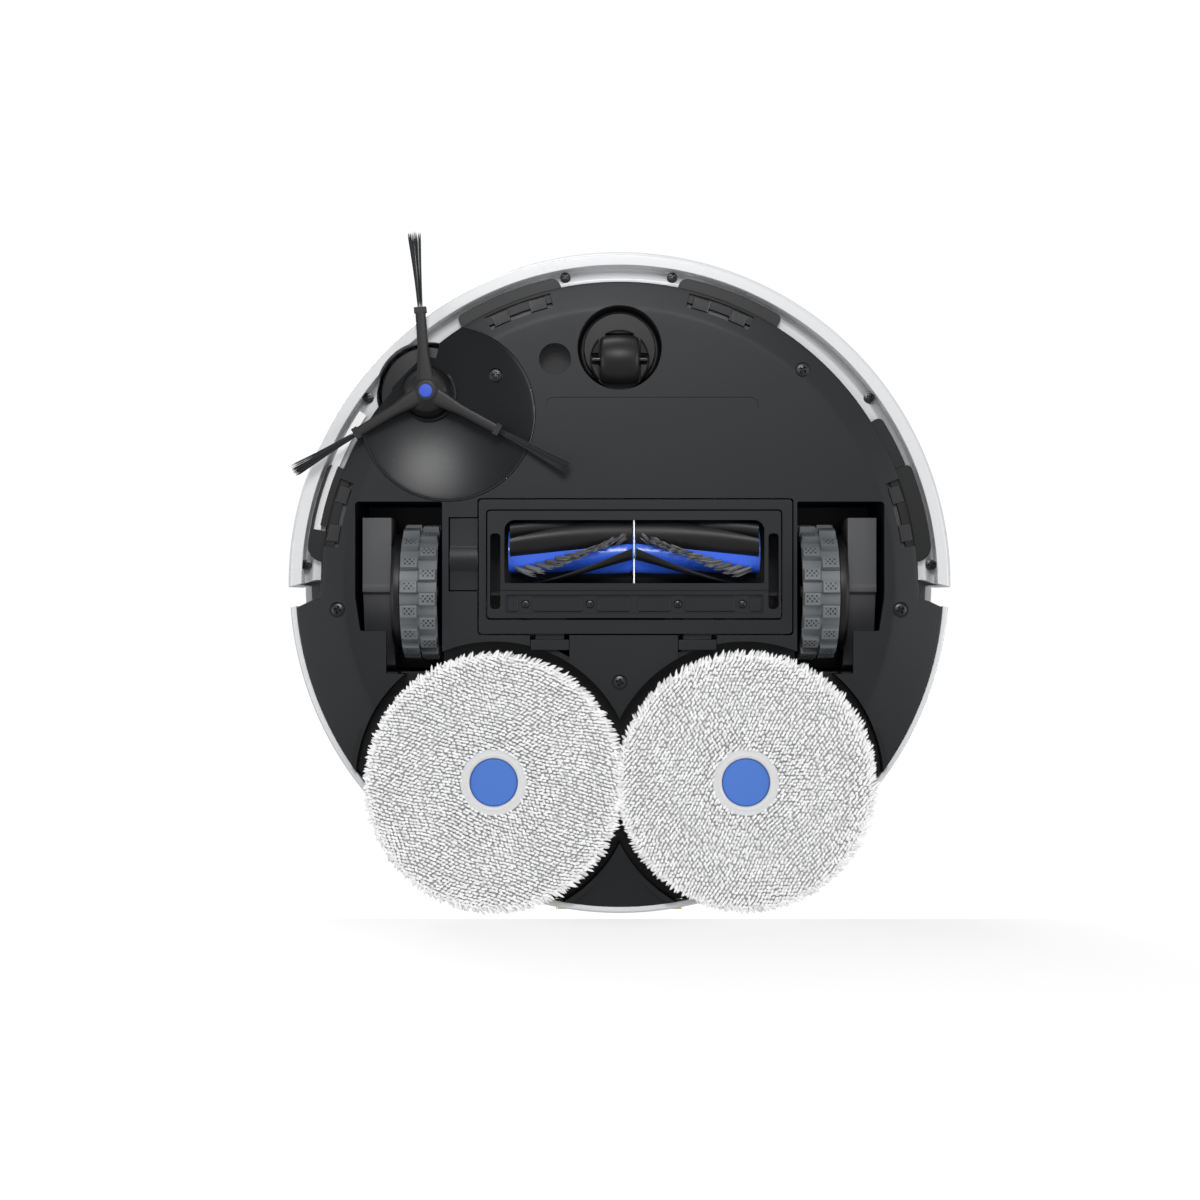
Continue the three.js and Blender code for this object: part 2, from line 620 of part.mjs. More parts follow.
/** The gearbox that carries the wheel and swings on its rear pivot. */
function driveUnit() {
  const x0 = WHEEL.x1 + 5.6;
  const outline = [
    [-34.5, 18], [0, 18], [1.5, 17.2], [4.7, 17.6], [6, 21], [24.9, 26], [34, 36],
    [44, 38], [46.4, 43], [45, 49], [38, 52], [-28, 58], [-34.5, 52],
  ];
  let unit = sidePrism(outline, x0, x0 + 15.2);
  unit = unit.subtract(axleBar(x0 - 1, x0 + 17, ARM_PIVOT.y, ARM_PIVOT.z, 2.4, SMALL));
  return unit.add(axleBar(WHEEL.x0 + 1.5, x0 + 1, WHEEL.y, WHEEL.z, 3.6, SMALL));
}

function driveWheels() {
  const group = new THREE.Group();
  for (const [name, side] of SIDES) {
    group.add(
      piece(`${name}_drive_unit`, onSide(driveUnit(), side), GREY_PLASTIC),
      piece(`${name}_rim`, onSide(rim(), side), BLACK_PLASTIC),
      piece(`${name}_tyre`, onSide(tyre(), side), RUBBER),
    );
  }
  return group;
}

// ---- Main brush and its cover ---------------------------------------------------

function rollerCore() {
  let core = axleBar(-59, 74.4, ROLLER.y, ROLLER.z, ROLLER.core, MEDIUM);
  core = core.add(axleBar(-70.5, 86, ROLLER.y, ROLLER.z, 3.8, SMALL));
  return core;
}

/** One half of the blade sleeve: the outer shape of its soft blades. */
function rollerBlades(x0, x1) {
  const sleeve = axleBar(x0, x1, ROLLER.y, ROLLER.z, ROLLER.tip, MEDIUM);
  return sleeve.subtract(axleBar(x0 - 1, x1 + 1, ROLLER.y, ROLLER.z, ROLLER.core + GAP, MEDIUM));
}

function brushCover() {
  const { x0, x1, y0, y1, z0, z1 } = COVER;
  let cover = prism(roundedRectangle(x0, x1, y0, y1, 2, 3), z0, z1);
  cover = cover.add(prism(roundedRectangle(-69.4, 84.6, -37.8, 18.4, 2.5, 3), 8.8, z1));
  cover = cover.add(block(WINDOW.x0, WINDOW.x1, WINDOW.y1, WINDOW.y1 + 3.4, 7.9, z1));
  cover = cover.subtract(prism(roundedRectangle(WINDOW.x0, WINDOW.x1, WINDOW.y0, WINDOW.y1 + 8, WINDOW.corner), 0, 20)
    .subtract(block(-100, 100, WINDOW.y1, 30, -1, 21)));
  cover = cover.subtract(block(-68, -62, -26, 13.7, 0, 10.6));
  cover = cover.subtract(block(77.4, 83, -26, 13.7, 0, 10.6));
  for (const [from, to] of [[-59.5, -26], [-24.5, 3], [5, 38], [39.5, 75]]) {
    cover = cover.subtract(block(from, to, 6.4, 16, 0, 9.5));
  }
  for (const x of [-49.4, -15.6, 30.6, 64.5]) {
    cover = cover.add(drum(x, 11.2, 3, 8.6, 11, SMALL));
  }
  return cover;
}

function guardWire() {
  return block(ROLLER.gapX - 0.5, ROLLER.gapX + 0.5, WINDOW.y0 + GAP, WINDOW.y1 - GAP, 8.8, 9.8);
}

function coverLatch(x0, x1) {
  const tongue = block(x0 + 2.4, x1 - 2.4, 12, 34, 12.8, 14.4);
  return tongue.add(block(x0, x1, 29.8, 35.4, 10.6, 14.4));
}

function mainBrush() {
  return assembly(
    piece("brush_core", rollerCore(), BLUE_PLASTIC),
    piece("brush_blades_right", rollerBlades(-57.6, ROLLER.gapX - ROLLER.gap), BLACK_RUBBER),
    piece("brush_blades_left", rollerBlades(ROLLER.gapX + ROLLER.gap, 73), BLACK_RUBBER),
    piece("brush_cover", brushCover(), BLACK_PLASTIC),
    piece("guard_wire", guardWire(), STEEL),
    piece("right_cover_latch", coverLatch(-46.8, -26.8), BLACK_PLASTIC),
    piece("left_cover_latch", coverLatch(31, 50.8), BLACK_PLASTIC),
  );
}

// ---- Mops ------------------------------------------------------------------------

function mopCarriage() {
  let carriage = block(-MOP.x, MOP.x, MOP.y - 9, MOP.y + 9, 29, 36);
  carriage = carriage.add(drum(0, 100, 15, 29, 47, 32));
  for (const side of [-1, 1]) carriage = carriage.add(drum(side * MOP.x, MOP.y, 19, 29, 43, 32));
  for (const side of [-1, 1]) carriage = carriage.subtract(drum(side * MOP.x, MOP.y, 5.6, 20, 37, SMALL));
  return carriage;
}

function mopDisc() {
  return turned([
    [0, 7.4], [12.9, 7.4], [12.9, 2], [17.6, 2], [17.6, 7.4],
    [MOP.disc, 7.4], [MOP.disc, 9.8], [5, 9.8], [5, 36], [0, 36],
  ], 32, MOP.x, MOP.y);
}

function mopPad() {
  return turned([
    [18.2, 0.6], [MOP.r - 1.5, 0.6], [MOP.r, 2.4], [MOP.r, 7], [18.2, 7],
  ], 32, MOP.x, MOP.y);
}

function mops() {
  const group = assembly(piece("mop_carriage", mopCarriage(), GREY_PLASTIC));
  const cap = turned([[0, 4.6], [10.5, 4.6], [12.5, 4], [12.5, 7], [0, 7]], 28, MOP.x, MOP.y);
  for (const [name, side] of SIDES) {
    group.add(
      piece(`${name}_mop_disc`, onSide(mopDisc(), side), WHITE_PLASTIC),
      piece(`${name}_mop_hub_cap`, onSide(cap, side), BLUE_PLASTIC),
      piece(`${name}_mop_pad`, onSide(mopPad(), side), MICROFIBRE),
    );
  }
  return group;
}

// ---- The whole robot ---------------------------------------------------------------

const robot = assembly(
  chassis(), topParts(), bumperParts(), sideBrush(), caster(), driveWheels(), mainBrush(), mops());
robot.name = "robot_vacuum";
robot.position.y = BODY_SHIFT_Y;

export default robot;
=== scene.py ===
"""Looks for a robot vacuum with two mop pads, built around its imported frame.

Lengths inside the classes are millimetres from the middle of the round body, with the bumper towards -Y.
Workshop.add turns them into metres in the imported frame. Azimuths are degrees from the front towards +X.
"""

import logging
import math
from dataclasses import dataclass
from enum import Enum

import bmesh
import bpy
import numpy as np
from mathutils import Matrix, Vector


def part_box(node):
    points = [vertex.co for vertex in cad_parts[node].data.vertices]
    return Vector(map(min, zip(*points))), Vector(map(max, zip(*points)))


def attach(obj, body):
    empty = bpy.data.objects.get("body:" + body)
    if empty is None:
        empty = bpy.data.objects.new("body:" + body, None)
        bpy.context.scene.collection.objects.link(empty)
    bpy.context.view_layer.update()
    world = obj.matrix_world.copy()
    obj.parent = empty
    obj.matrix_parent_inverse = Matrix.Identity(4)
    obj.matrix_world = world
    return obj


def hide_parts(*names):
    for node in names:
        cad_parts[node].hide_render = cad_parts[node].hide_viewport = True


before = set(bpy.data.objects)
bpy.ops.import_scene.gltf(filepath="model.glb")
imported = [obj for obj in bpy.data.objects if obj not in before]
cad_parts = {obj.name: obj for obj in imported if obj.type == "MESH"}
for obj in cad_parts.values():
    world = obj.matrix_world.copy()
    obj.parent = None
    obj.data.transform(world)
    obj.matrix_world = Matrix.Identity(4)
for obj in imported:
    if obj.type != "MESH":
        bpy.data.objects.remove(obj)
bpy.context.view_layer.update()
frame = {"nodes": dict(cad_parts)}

log = logging.getLogger("robot_vacuum")

MM = 0.001
CUT_TOP = 30.0  # cuts through the floor reach up to here
FRONT_R = 158.0  # the floor's front edge
SEAM_Z = 74.6  # where the walls meet the top
HUB_AXIS = (-101.4, -100.4)  # side brush
MOP_AXIS = (65.8, 104.2)  # left mop
SWIVEL_Y = -123.8  # caster
TURRET_Y = 42.0
CONTACT_X = 28.0  # charging contacts, each side
Colour = tuple[float, float, float]
Outline = list[tuple[float, float]]


class Side(Enum):
    """The robot's own sides: its left is +X."""

    LEFT = 1
    RIGHT = -1

    @property
    def word(self) -> str:
        """The side's name as node names spell it."""
        return self.name.lower()


# ---- Surfaces -------------------------------------------------------------------


@dataclass
class Surface:
    """Points in millimetres and faces over them, with an optional map and tone for each point."""

    points: np.ndarray
    faces: list[np.ndarray]
    uv: np.ndarray | None = None
    tone: np.ndarray | None = None

    def moved(self, x: float = 0.0, y: float = 0.0, z: float = 0.0) -> "Surface":
        """The surface shifted by (x, y, z)."""
        return Surface(self.points + np.array([x, y, z]), self.faces, self.uv, self.tone)

    def turned(self, degrees: float) -> "Surface":
        """The surface turned about the Z axis."""
        c, s = math.cos(math.radians(degrees)), math.sin(math.radians(degrees))
        spin = np.array([[c, s, 0], [-s, c, 0], [0, 0, 1]])
        return Surface(self.points @ spin, self.faces, self.uv, self.tone)

    def laid_along_x(self) -> "Surface":
        """The surface with its Z axis laid along X, as a wheel on its axle: (x, y, z) goes to (z, x, y)."""
        return Surface(self.points[:, [2, 0, 1]], self.faces, self.uv, self.tone)

    def on_side(self, side: Side) -> "Surface":
        """A surface made for +X, mirrored when the side is the right one."""
        if side is Side.LEFT:
            return self
        flipped = [face[:, ::-1] for face in self.faces]
        return Surface(self.points * np.array([-1, 1, 1]), flipped, self.uv, self.tone)


def joined(parts: list[Surface]) -> Surface:
    """Several surfaces as one, keeping their maps and tones where every part has them."""
    starts = np.cumsum([0] + [len(p.points) for p in parts[:-1]])
    faces = [face + start for part, start in zip(parts, starts) for face in part.faces]
    uv = np.vstack([p.uv for p in parts]) if all(p.uv is not None for p in parts) else None
    tone = np.concatenate([p.tone for p in parts]) if all(p.tone is not None for p in parts) else None
    return Surface(np.vstack([p.points for p in parts]), faces, uv, tone)


def grid(points: np.ndarray, wrap_u: bool = False, wrap_v: bool = False, uv: np.ndarray | None = None,
         tone: np.ndarray | None = None) -> Surface:
    """Quads over one or many grids of points.

    Args:
        points: array (..., nu, nv, 3); every leading index is a grid of its own.
        wrap_u: joins the last row to the first.
        wrap_v: joins the last column to the first.
        uv: map for each point, shaped (..., nu, nv, 2).
        tone: value for each point, shaped (..., nu, nv).

    Returns:
        The surface.
    """
    nu, nv = points.shape[-3:-1]
    ids = np.arange(points.size // 3).reshape(-1, nu, nv)
    if wrap_u:
        ids = np.concatenate([ids, ids[:, :1]], 1)
    if wrap_v:
        ids = np.concatenate([ids, ids[:, :, :1]], 2)
    quads = np.stack([ids[:, :-1, :-1], ids[:, 1:, :-1], ids[:, 1:, 1:], ids[:, :-1, 1:]], -1)
    return Surface(points.reshape(-1, 3), [quads.reshape(-1, 4)],
                   None if uv is None else uv.reshape(-1, 2), None if tone is None else tone.reshape(-1))


def on_circle(r: np.ndarray, azimuth: np.ndarray, z: np.ndarray) -> np.ndarray:
    """Points (r sin a, -r cos a, z): azimuth a counts from the front towards +X."""
    a = np.radians(azimuth)
    return np.stack(np.broadcast_arrays(r * np.sin(a), -r * np.cos(a), z), -1)


def revolved(profile: Outline, steps: int = 96, x: float = 0.0, y: float = 0.0) -> Surface:
    """A closed (radius, height) outline turned about the upright axis through (x, y)."""
    r, z = np.array(profile, float).T
    azimuth = np.arange(steps) * 360.0 / steps
    return grid(on_circle(r[None, :], azimuth[:, None], z[None, :]), wrap_u=True, wrap_v=True).moved(x, y)


def with_ends(body: Surface, ring: int) -> Surface:
    """Adds a flat face over the first and the last ring of points, each of the given length."""
    first = np.arange(ring)[None, :]
    body.faces += [first, (first + len(body.points) - ring)[:, ::-1]]
    return body


def arc_swept(profile: Outline, start: np.ndarray, end: np.ndarray, steps: int) -> Surface:
    """A closed (radius, height) outline carried round part of a circle, with flat ends.

    Args:
        profile: the outline.
        start: first azimuth of each outline point.
        end: last azimuth of each outline point.
        steps: stretches along the arc.

    Returns:
        The closed surface: azimuth = start + t (end - start) for t from 0 to 1.
    """
    r, z = np.array(profile, float).T
    t = np.linspace(0, 1, steps + 1)[:, None]
    body = grid(on_circle(r[None, :], start + t * (end - start), z[None, :]), wrap_v=True)
    return with_ends(body, len(profile))


def prism(outline: Outline | np.ndarray, z0: float, z1: float) -> Surface:
    """An outline in the XY plane, carried up from z0 to z1."""
    xy = np.array(outline, float)
    n = len(xy)
    low = np.column_stack([xy, np.full(n, z0)])
    high = np.column_stack([xy, np.full(n, z1)])
    a = np.arange(n)
    b = np.roll(a, -1)
    return Surface(np.vstack([low, high]), [np.stack([a, b, b + n, a + n], -1), a[None, ::-1],
                                            (a + n)[None, :]])


def box(x0: float, x1: float, y0: float, y1: float, z0: float, z1: float) -> Surface:
    """A block between two corners."""
    return prism([(x0, y0), (x1, y0), (x1, y1), (x0, y1)], z0, z1)


def drum(x: float, y: float, r: float, z0: float, z1: float, steps: int = 96) -> Surface:
    """An upright round bar."""
    a = np.linspace(0, 2 * np.pi, steps, endpoint=False)
    return prism(np.column_stack([x + r * np.cos(a), y + r * np.sin(a)]), z0, z1)


def rounded_rectangle(x0: float, x1: float, y0: float, y1: float, radii: tuple[float, float, float, float],
                      steps: int = 8) -> np.ndarray:
    """Outline of a rectangle whose corners are arcs.

    Args:
        x0, x1, y0, y1: its sides.
        radii: corner radii at (x1, y1), (x0, y1), (x0, y0) and (x1, y0).
        steps: stretches in each arc.

    Returns:
        The outline's points.
    """
    corners = [(x1, y1, -1, -1, 0), (x0, y1, 1, -1, 90), (x0, y0, 1, 1, 180), (x1, y0, -1, 1, 270)]
    arcs = []
    for (cx, cy, sx, sy, start), r in zip(corners, radii):
        a = np.radians(start + np.linspace(0, 90, steps + 1))
        arcs.append(np.column_stack([cx + sx * r + r * np.cos(a), cy + sy * r + r * np.sin(a)]))
    return np.vstack(arcs)


def slab(x0: float, x1: float, y0: float, y1: float, corner: float, z0: float, z1: float,
         steps: int = 8) -> Surface:
    """A block whose four upright edges are rounded by the same radius."""
    return prism(rounded_rectangle(x0, x1, y0, y1, (corner,) * 4, steps), z0, z1)


def twin_drums(x: float, y: float, r: float, z0: float, z1: float, steps: int = 96) -> list[Surface]:
    """Two upright round bars, at -x and x."""
    return [drum(-x, y, r, z0, z1, steps), drum(x, y, r, z0, z1, steps)]


def sector(r0: float, r1: float, start: float, end: float, z0: float, z1: float, steps: int = 24) -> Surface:
    """A piece of a flat ring between two azimuths."""
    a = np.linspace(start, end, steps + 1)
    outer = on_circle(np.full_like(a, r1), a, 0 * a)[:, :2]
    inner = on_circle(np.full_like(a, r0), a, 0 * a)[::-1, :2]
    return prism(np.vstack([outer, inner]), z0, z1)


def smooth_step(t: np.ndarray) -> np.ndarray:
    """3 t^2 - 2 t^3 with t held between 0 and 1."""
    t = np.clip(t, 0, 1)
    return t * t * (3 - 2 * t)


def tubes(paths: np.ndarray, radii: np.ndarray, sides: int = 4, tone: np.ndarray | None = None) -> Surface:
    """Thin closed strands along many paths at once.

    Each section is a ring of the given radius across the path's direction; both ends close to a point.

    Args:
        paths: (count, steps, 3) points.
        radii: (count, steps) radii.
        sides: corners of a section.
        tone: (count,) value of each strand.

    Returns:
        All the strands as one surface.
    """
    along = np.gradient(paths, axis=1)
    along /= np.linalg.norm(along, axis=2, keepdims=True)
    helper = np.where(np.abs(along[..., 2:3]) > 0.9, np.array([1.0, 0, 0]), np.array([0, 0, 1.0]))
    side_a = np.cross(along, helper)
    side_a /= np.linalg.norm(side_a, axis=2, keepdims=True)
    side_b = np.cross(along, side_a)
    a = np.arange(sides) * 2 * np.pi / sides
    ring = side_a[:, :, None] * np.cos(a)[:, None] + side_b[:, :, None] * np.sin(a)[:, None]
    held = radii.copy()
    held[:, 0] = held[:, -1] = 1e-4
    points = paths[:, :, None] + ring * held[:, :, None, None]
    tones = None if tone is None else np.broadcast_to(tone[:, None, None], points.shape[:3])
    return grid(points, wrap_v=True, tone=tones)


# ---- Meshes ---------------------------------------------------------------------


def mesh_of(name: str, surface: Surface) -> bpy.types.Mesh:
    """A Blender mesh of a surface, still in millimetres."""
    mesh = bpy.data.meshes.new(name)
    loops = np.concatenate([face.ravel() for face in surface.faces]).astype(np.int32)
    sizes = np.concatenate([np.full(len(face), face.shape[1]) for face in surface.faces])
    starts = np.concatenate([[0], np.cumsum(sizes)[:-1]]).astype(np.int32)
    mesh.vertices.add(len(surface.points))
    mesh.vertices.foreach_set("co", surface.points.astype(np.float32).ravel())
    mesh.loops.add(len(loops))
    mesh.loops.foreach_set("vertex_index", loops)
    mesh.polygons.add(len(sizes))
    mesh.polygons.foreach_set("loop_start", starts)
    if surface.uv is not None:
        layer = mesh.uv_layers.new(name="UVMap")
        layer.data.foreach_set("uv", surface.uv[loops].astype(np.float32).ravel())
    if surface.tone is not None:
        tone = mesh.attributes.new("tone", "FLOAT", "POINT")
        tone.data.foreach_set("value", surface.tone.astype(np.float32))
    mesh.update(calc_edges=True)
    return mesh


def cleaned(mesh: bpy.types.Mesh, distance: float = 1e-3, flat_angle: float | None = None) -> bpy.types.Mesh:
    """Merges doubles, closes poles and turns every face outwards.

    Args:
        mesh: the mesh, changed in place.
        distance: how near two points are when they are one.
        flat_angle: joins faces that meet at less than this many degrees, when given.

    Returns:
        The same mesh.
    """
    work = bmesh.new()
    work.from_mesh(mesh)
    bmesh.ops.remove_doubles(work, verts=work.verts, dist=distance)
    if flat_angle is not None:
        bmesh.ops.dissolve_limit(work, angle_limit=math.radians(flat_angle), verts=work.verts,
                                 edges=work.edges)
    bmesh.ops.recalc_face_normals(work, faces=work.faces)
    work.to_mesh(mesh)
    work.free()
    return mesh


def closed_mesh(name: str, surface: Surface) -> bpy.types.Mesh:
    """A cleaned mesh of a surface, ready for cutting."""
    return cleaned(mesh_of(name, surface))


def placed(name: str, data: bpy.types.ID) -> bpy.types.Object:
    """A new object in the scene that holds the data."""
    obj = bpy.data.objects.new(name, data)
    bpy.context.scene.collection.objects.link(obj)
    return obj


def settled(name: str, objects: list[bpy.types.Object]) -> bpy.types.Mesh:
    """The first object's mesh with its modifiers applied; every object given is then removed."""
    graph = bpy.context.evaluated_depsgraph_get()
    result = bpy.data.meshes.new_from_object(objects[0].evaluated_get(graph))
    result.name = name
    for obj in objects:
        data = obj.data
        bpy.data.objects.remove(obj)
        bpy.data.meshes.remove(data)
    return result


def carved(name: str, base: bpy.types.Mesh, tools: list[Surface], keep: bool = False) -> bpy.types.Mesh:
    """Cuts surfaces out of a mesh.

    Args:
        name: the new mesh's name.
        base: what is cut.
        tools: closed surfaces, which may overlap each other.
        keep: keeps what lies inside the tools instead of removing it.

    Returns:
        The cut mesh.
    """
    target = placed(name, base)
    tool = placed(name + "_tool", closed_mesh(name + "_tool", joined(tools)))
    cut = target.modifiers.new("cut", "BOOLEAN")
    cut.operation = "INTERSECT" if keep else "DIFFERENCE"
    cut.solver = "EXACT"
    cut.use_self = True
    cut.object = tool
    return settled(name, [target, tool])


def united(name: str, parts: list[bpy.types.Mesh]) -> bpy.types.Mesh:
    """Joins overlapping closed meshes into one skin.

    Args:
        name: the new mesh's name.
        parts: the meshes.

    Returns:
        The joined mesh.
    """
    objects = [placed(name, mesh) for mesh in parts]
    for other in objects[1:]:
        step = objects[0].modifiers.new("join", "BOOLEAN")
        step.operation = "UNION"
        step.solver = "EXACT"
        step.object = other
    return settled(name, objects)


# ---- Shader groups --------------------------------------------------------------


def new_group(name: str, inputs: dict[str, float], outputs: list[str]) -> bpy.types.NodeTree:
    """An empty shader group with float inputs and outputs, and its two end nodes."""
    group = bpy.data.node_groups.new(name, "ShaderNodeTree")
    for label, value in inputs.items():
        socket = group.interface.new_socket(label, in_out="INPUT", socket_type="NodeSocketFloat")
        socket.default_value = value
    for label in outputs:
        group.interface.new_socket(label, in_out="OUTPUT", socket_type="NodeSocketFloat")
    group.nodes.new("NodeGroupInput").name = "in"
    group.nodes.new("NodeGroupOutput").name = "out"
    return group


def math_node(tree: bpy.types.NodeTree, operation: str, a: object, b: object = None) -> bpy.types.NodeSocket:
    """A math node on sockets or numbers, and its result."""
    node = tree.nodes.new("ShaderNodeMath")
    node.operation = operation
    for socket, value in zip(node.inputs, (a, b)):
        if isinstance(value, bpy.types.NodeSocket):
            tree.links.new(value, socket)
        elif value is not None:
            socket.default_value = value
    return node.outputs[0]


def noise_node(tree: bpy.types.NodeTree, vector: bpy.types.NodeSocket, scale: object, detail: float,
               roughness: float = 0.5) -> bpy.types.NodeSocket:
    """A noise texture's value at a vector."""
    node = tree.nodes.new("ShaderNodeTexNoise")
    tree.links.new(vector, node.inputs["Vector"])
    if isinstance(scale, bpy.types.NodeSocket):
        tree.links.new(scale, node.inputs["Scale"])
    else:
        node.inputs["Scale"].default_value = scale
    node.inputs["Detail"].default_value = detail
    node.inputs["Roughness"].default_value = roughness
    return node.outputs["Fac"]


def grain_group() -> bpy.types.NodeTree:
    """Moulded plastic: a fine eroded grain and a slow drift of tone, both from Object coordinates.

    Inputs: Grain Scale, per metre. Outputs: Height of the grain, and Drift, both 0 to 1.
    """
    name = "moulded_grain"
    if name in bpy.data.node_groups:
        return bpy.data.node_groups[name]
    group = new_group(name, {"Grain Scale": 2500.0}, ["Height", "Drift"])
    place = group.nodes.new("ShaderNodeTexCoord").outputs["Object"]
    scale = group.nodes["in"].outputs["Grain Scale"]
    cells = group.nodes.new("ShaderNodeTexVoronoi")
    group.links.new(place, cells.inputs["Vector"])
    group.links.new(scale, cells.inputs["Scale"])
    fine = noise_node(group, place, scale, 2.0)
    height = math_node(group, "MULTIPLY", math_node(group, "ADD", cells.outputs["Distance"], fine), 0.5)
    group.links.new(height, group.nodes["out"].inputs["Height"])
    group.links.new(noise_node(group, place, 28.0, 3.0), group.nodes["out"].inputs["Drift"])
    return group


def scuff_group() -> bpy.types.NodeTree:
    """Use marks: thin scattered scuffs where two stretched noises meet.

    Inputs: Amount, 0 to 1. Outputs: Mask, 0 to 1.
    """
    name = "fine_scuffs"
    if name in bpy.data.node_groups:
        return bpy.data.node_groups[name]
    group = new_group(name, {"Amount": 0.5}, ["Mask"])
    place = group.nodes.new("ShaderNodeTexCoord").outputs["Object"]
    stretch = group.nodes.new("ShaderNodeMapping")
    group.links.new(place, stretch.inputs["Vector"])
    stretch.inputs["Rotation"].default_value = (0.3, 0.2, 0.7)
    stretch.inputs["Scale"].default_value = (900.0, 60.0, 300.0)
    lines = noise_node(group, stretch.outputs["Vector"], 1.0, 4.0, 0.6)
    patches = noise_node(group, place, 45.0, 2.0)
    both = math_node(group, "MULTIPLY", lines, patches)
    sharp = group.nodes.new("ShaderNodeMapRange")
    group.links.new(both, sharp.inputs["Value"])
    sharp.inputs["From Min"].default_value = 0.30
    sharp.inputs["From Max"].default_value = 0.42
    mask = math_node(group, "MULTIPLY", sharp.outputs["Result"], group.nodes["in"].outputs["Amount"])
    group.links.new(mask, group.nodes["out"].inputs["Mask"])
    return group


# ---- Finishes -------------------------------------------------------------------


def place_group(tree: bpy.types.NodeTree, group: bpy.types.NodeTree, **values: float) -> bpy.types.Node:
    """Puts a shader group into a material with its own values."""
    node = tree.nodes.new("ShaderNodeGroup")
    node.node_tree = group
    for label, value in values.items():
        node.inputs[label.replace("_", " ")].default_value = value
    return node


def colour_mix(tree: bpy.types.NodeTree, factor: bpy.types.NodeSocket, low: Colour,
               high: Colour) -> bpy.types.NodeSocket:
    """A colour between two colours."""
    mix = tree.nodes.new("ShaderNodeMix")
    mix.data_type = "RGBA"
    tree.links.new(factor, mix.inputs["Factor"])
    mix.inputs["A"].default_value = (*low, 1)
    mix.inputs["B"].default_value = (*high, 1)
    return mix.outputs["Result"]


def value_range(tree: bpy.types.NodeTree, value: bpy.types.NodeSocket, low: float, high: float,
                from_low: float = 0.0, from_high: float = 1.0) -> bpy.types.NodeSocket:
    """A value moved from one range to another."""
    node = tree.nodes.new("ShaderNodeMapRange")
    tree.links.new(value, node.inputs["Value"])
    node.inputs["From Min"].default_value = from_low
    node.inputs["From Max"].default_value = from_high
    node.inputs["To Min"].default_value = low
    node.inputs["To Max"].default_value = high
    return node.outputs["Result"]


def bumped(tree: bpy.types.NodeTree, shader: bpy.types.Node, height: bpy.types.NodeSocket, strength: float,
           distance_mm: float) -> None:
    """Lets a height tilt a shader's normal."""
    bump = tree.nodes.new("ShaderNodeBump")
    bump.inputs["Strength"].default_value = strength
    bump.inputs["Distance"].default_value = distance_mm * MM
    tree.links.new(height, bump.inputs["Height"])
    tree.links.new(bump.outputs["Normal"], shader.inputs["Normal"])


def tone_value(tree: bpy.types.NodeTree) -> bpy.types.NodeSocket:
    """The tone that the mesh keeps for each point."""
    tone = tree.nodes.new("ShaderNodeAttribute")
    tone.attribute_name = "tone"
    return tone.outputs["Fac"]


def empty_material(name: str) -> tuple[bpy.types.Material, bpy.types.NodeTree, bpy.types.Node]:
    """A node material, its tree and its Principled shader."""
    material = bpy.data.materials.new(name)
    material.use_nodes = True
    tree = material.node_tree
    return material, tree, tree.nodes["Principled BSDF"]


@dataclass(frozen=True)
class Finish:
    """A named finish, which each kind wires up in its own way."""

    name: str

    def material(self) -> bpy.types.Material:
        """The Blender material, built once."""
        name = "finish_" + self.name
        if name in bpy.data.materials:
            return bpy.data.materials[name]
        material, tree, shader = empty_material(name)
        self.wire(tree, shader)
        return material

    def wire(self, tree: bpy.types.NodeTree, shader: bpy.types.Node) -> None:
        """Sets up the shader's nodes."""
        raise NotImplementedError


@dataclass(frozen=True)
class Moulded(Finish):
    """A moulded plastic or rubber: grain, slow drift of tone, and faint scuffs."""

    colour: Colour
    roughness: float
    grain_per_m: float = 2600.0
    grain_strength: float = 0.25
    drift: float = 0.12
    scuffs: float = 0.25
    coat: float = 0.0
    specular: float = 0.5

    def wire(self, tree: bpy.types.NodeTree, shader: bpy.types.Node) -> None:
        """Sets up the shader's nodes."""
        grain = place_group(tree, grain_group(), Grain_Scale=self.grain_per_m)
        scuff = place_group(tree, scuff_group(), Amount=self.scuffs)
        low = tuple(c * (1 - self.drift) for c in self.colour)
        high = tuple(min(1.0, c * (1 + self.drift)) for c in self.colour)
        tree.links.new(colour_mix(tree, grain.outputs["Drift"], low, high), shader.inputs["Base Color"])
        rough = value_range(tree, grain.outputs["Drift"], self.roughness - 0.05, self.roughness + 0.05)
        worn = math_node(tree, "MULTIPLY", scuff.outputs["Mask"], 0.18)
        tree.links.new(math_node(tree, "ADD", rough, worn), shader.inputs["Roughness"])
        shader.inputs["Coat Weight"].default_value = self.coat
        shader.inputs["Coat Roughness"].default_value = 0.12
        shader.inputs["Specular IOR Level"].default_value = self.specular
        bumped(tree, shader, grain.outputs["Height"], self.grain_strength, 0.05)


@dataclass(frozen=True)
class Metal(Finish):
    """A drawn or plated metal with fine marks along it."""

    colour: Colour
    roughness: float

    def wire(self, tree: bpy.types.NodeTree, shader: bpy.types.Node) -> None:
        """Sets up the shader's nodes."""
        grain = place_group(tree, grain_group(), Grain_Scale=1500.0)
        scuff = place_group(tree, scuff_group(), Amount=0.8)
        dark = tuple(c * 0.86 for c in self.colour)
        tree.links.new(colour_mix(tree, grain.outputs["Drift"], dark, self.colour),
                       shader.inputs["Base Color"])
        rough = math_node(tree, "MULTIPLY", scuff.outputs["Mask"], 0.25)
        tree.links.new(math_node(tree, "ADD", rough, self.roughness), shader.inputs["Roughness"])
        shader.inputs["Metallic"].default_value = 1.0
        bumped(tree, shader, scuff.outputs["Mask"], 0.2, 0.02)


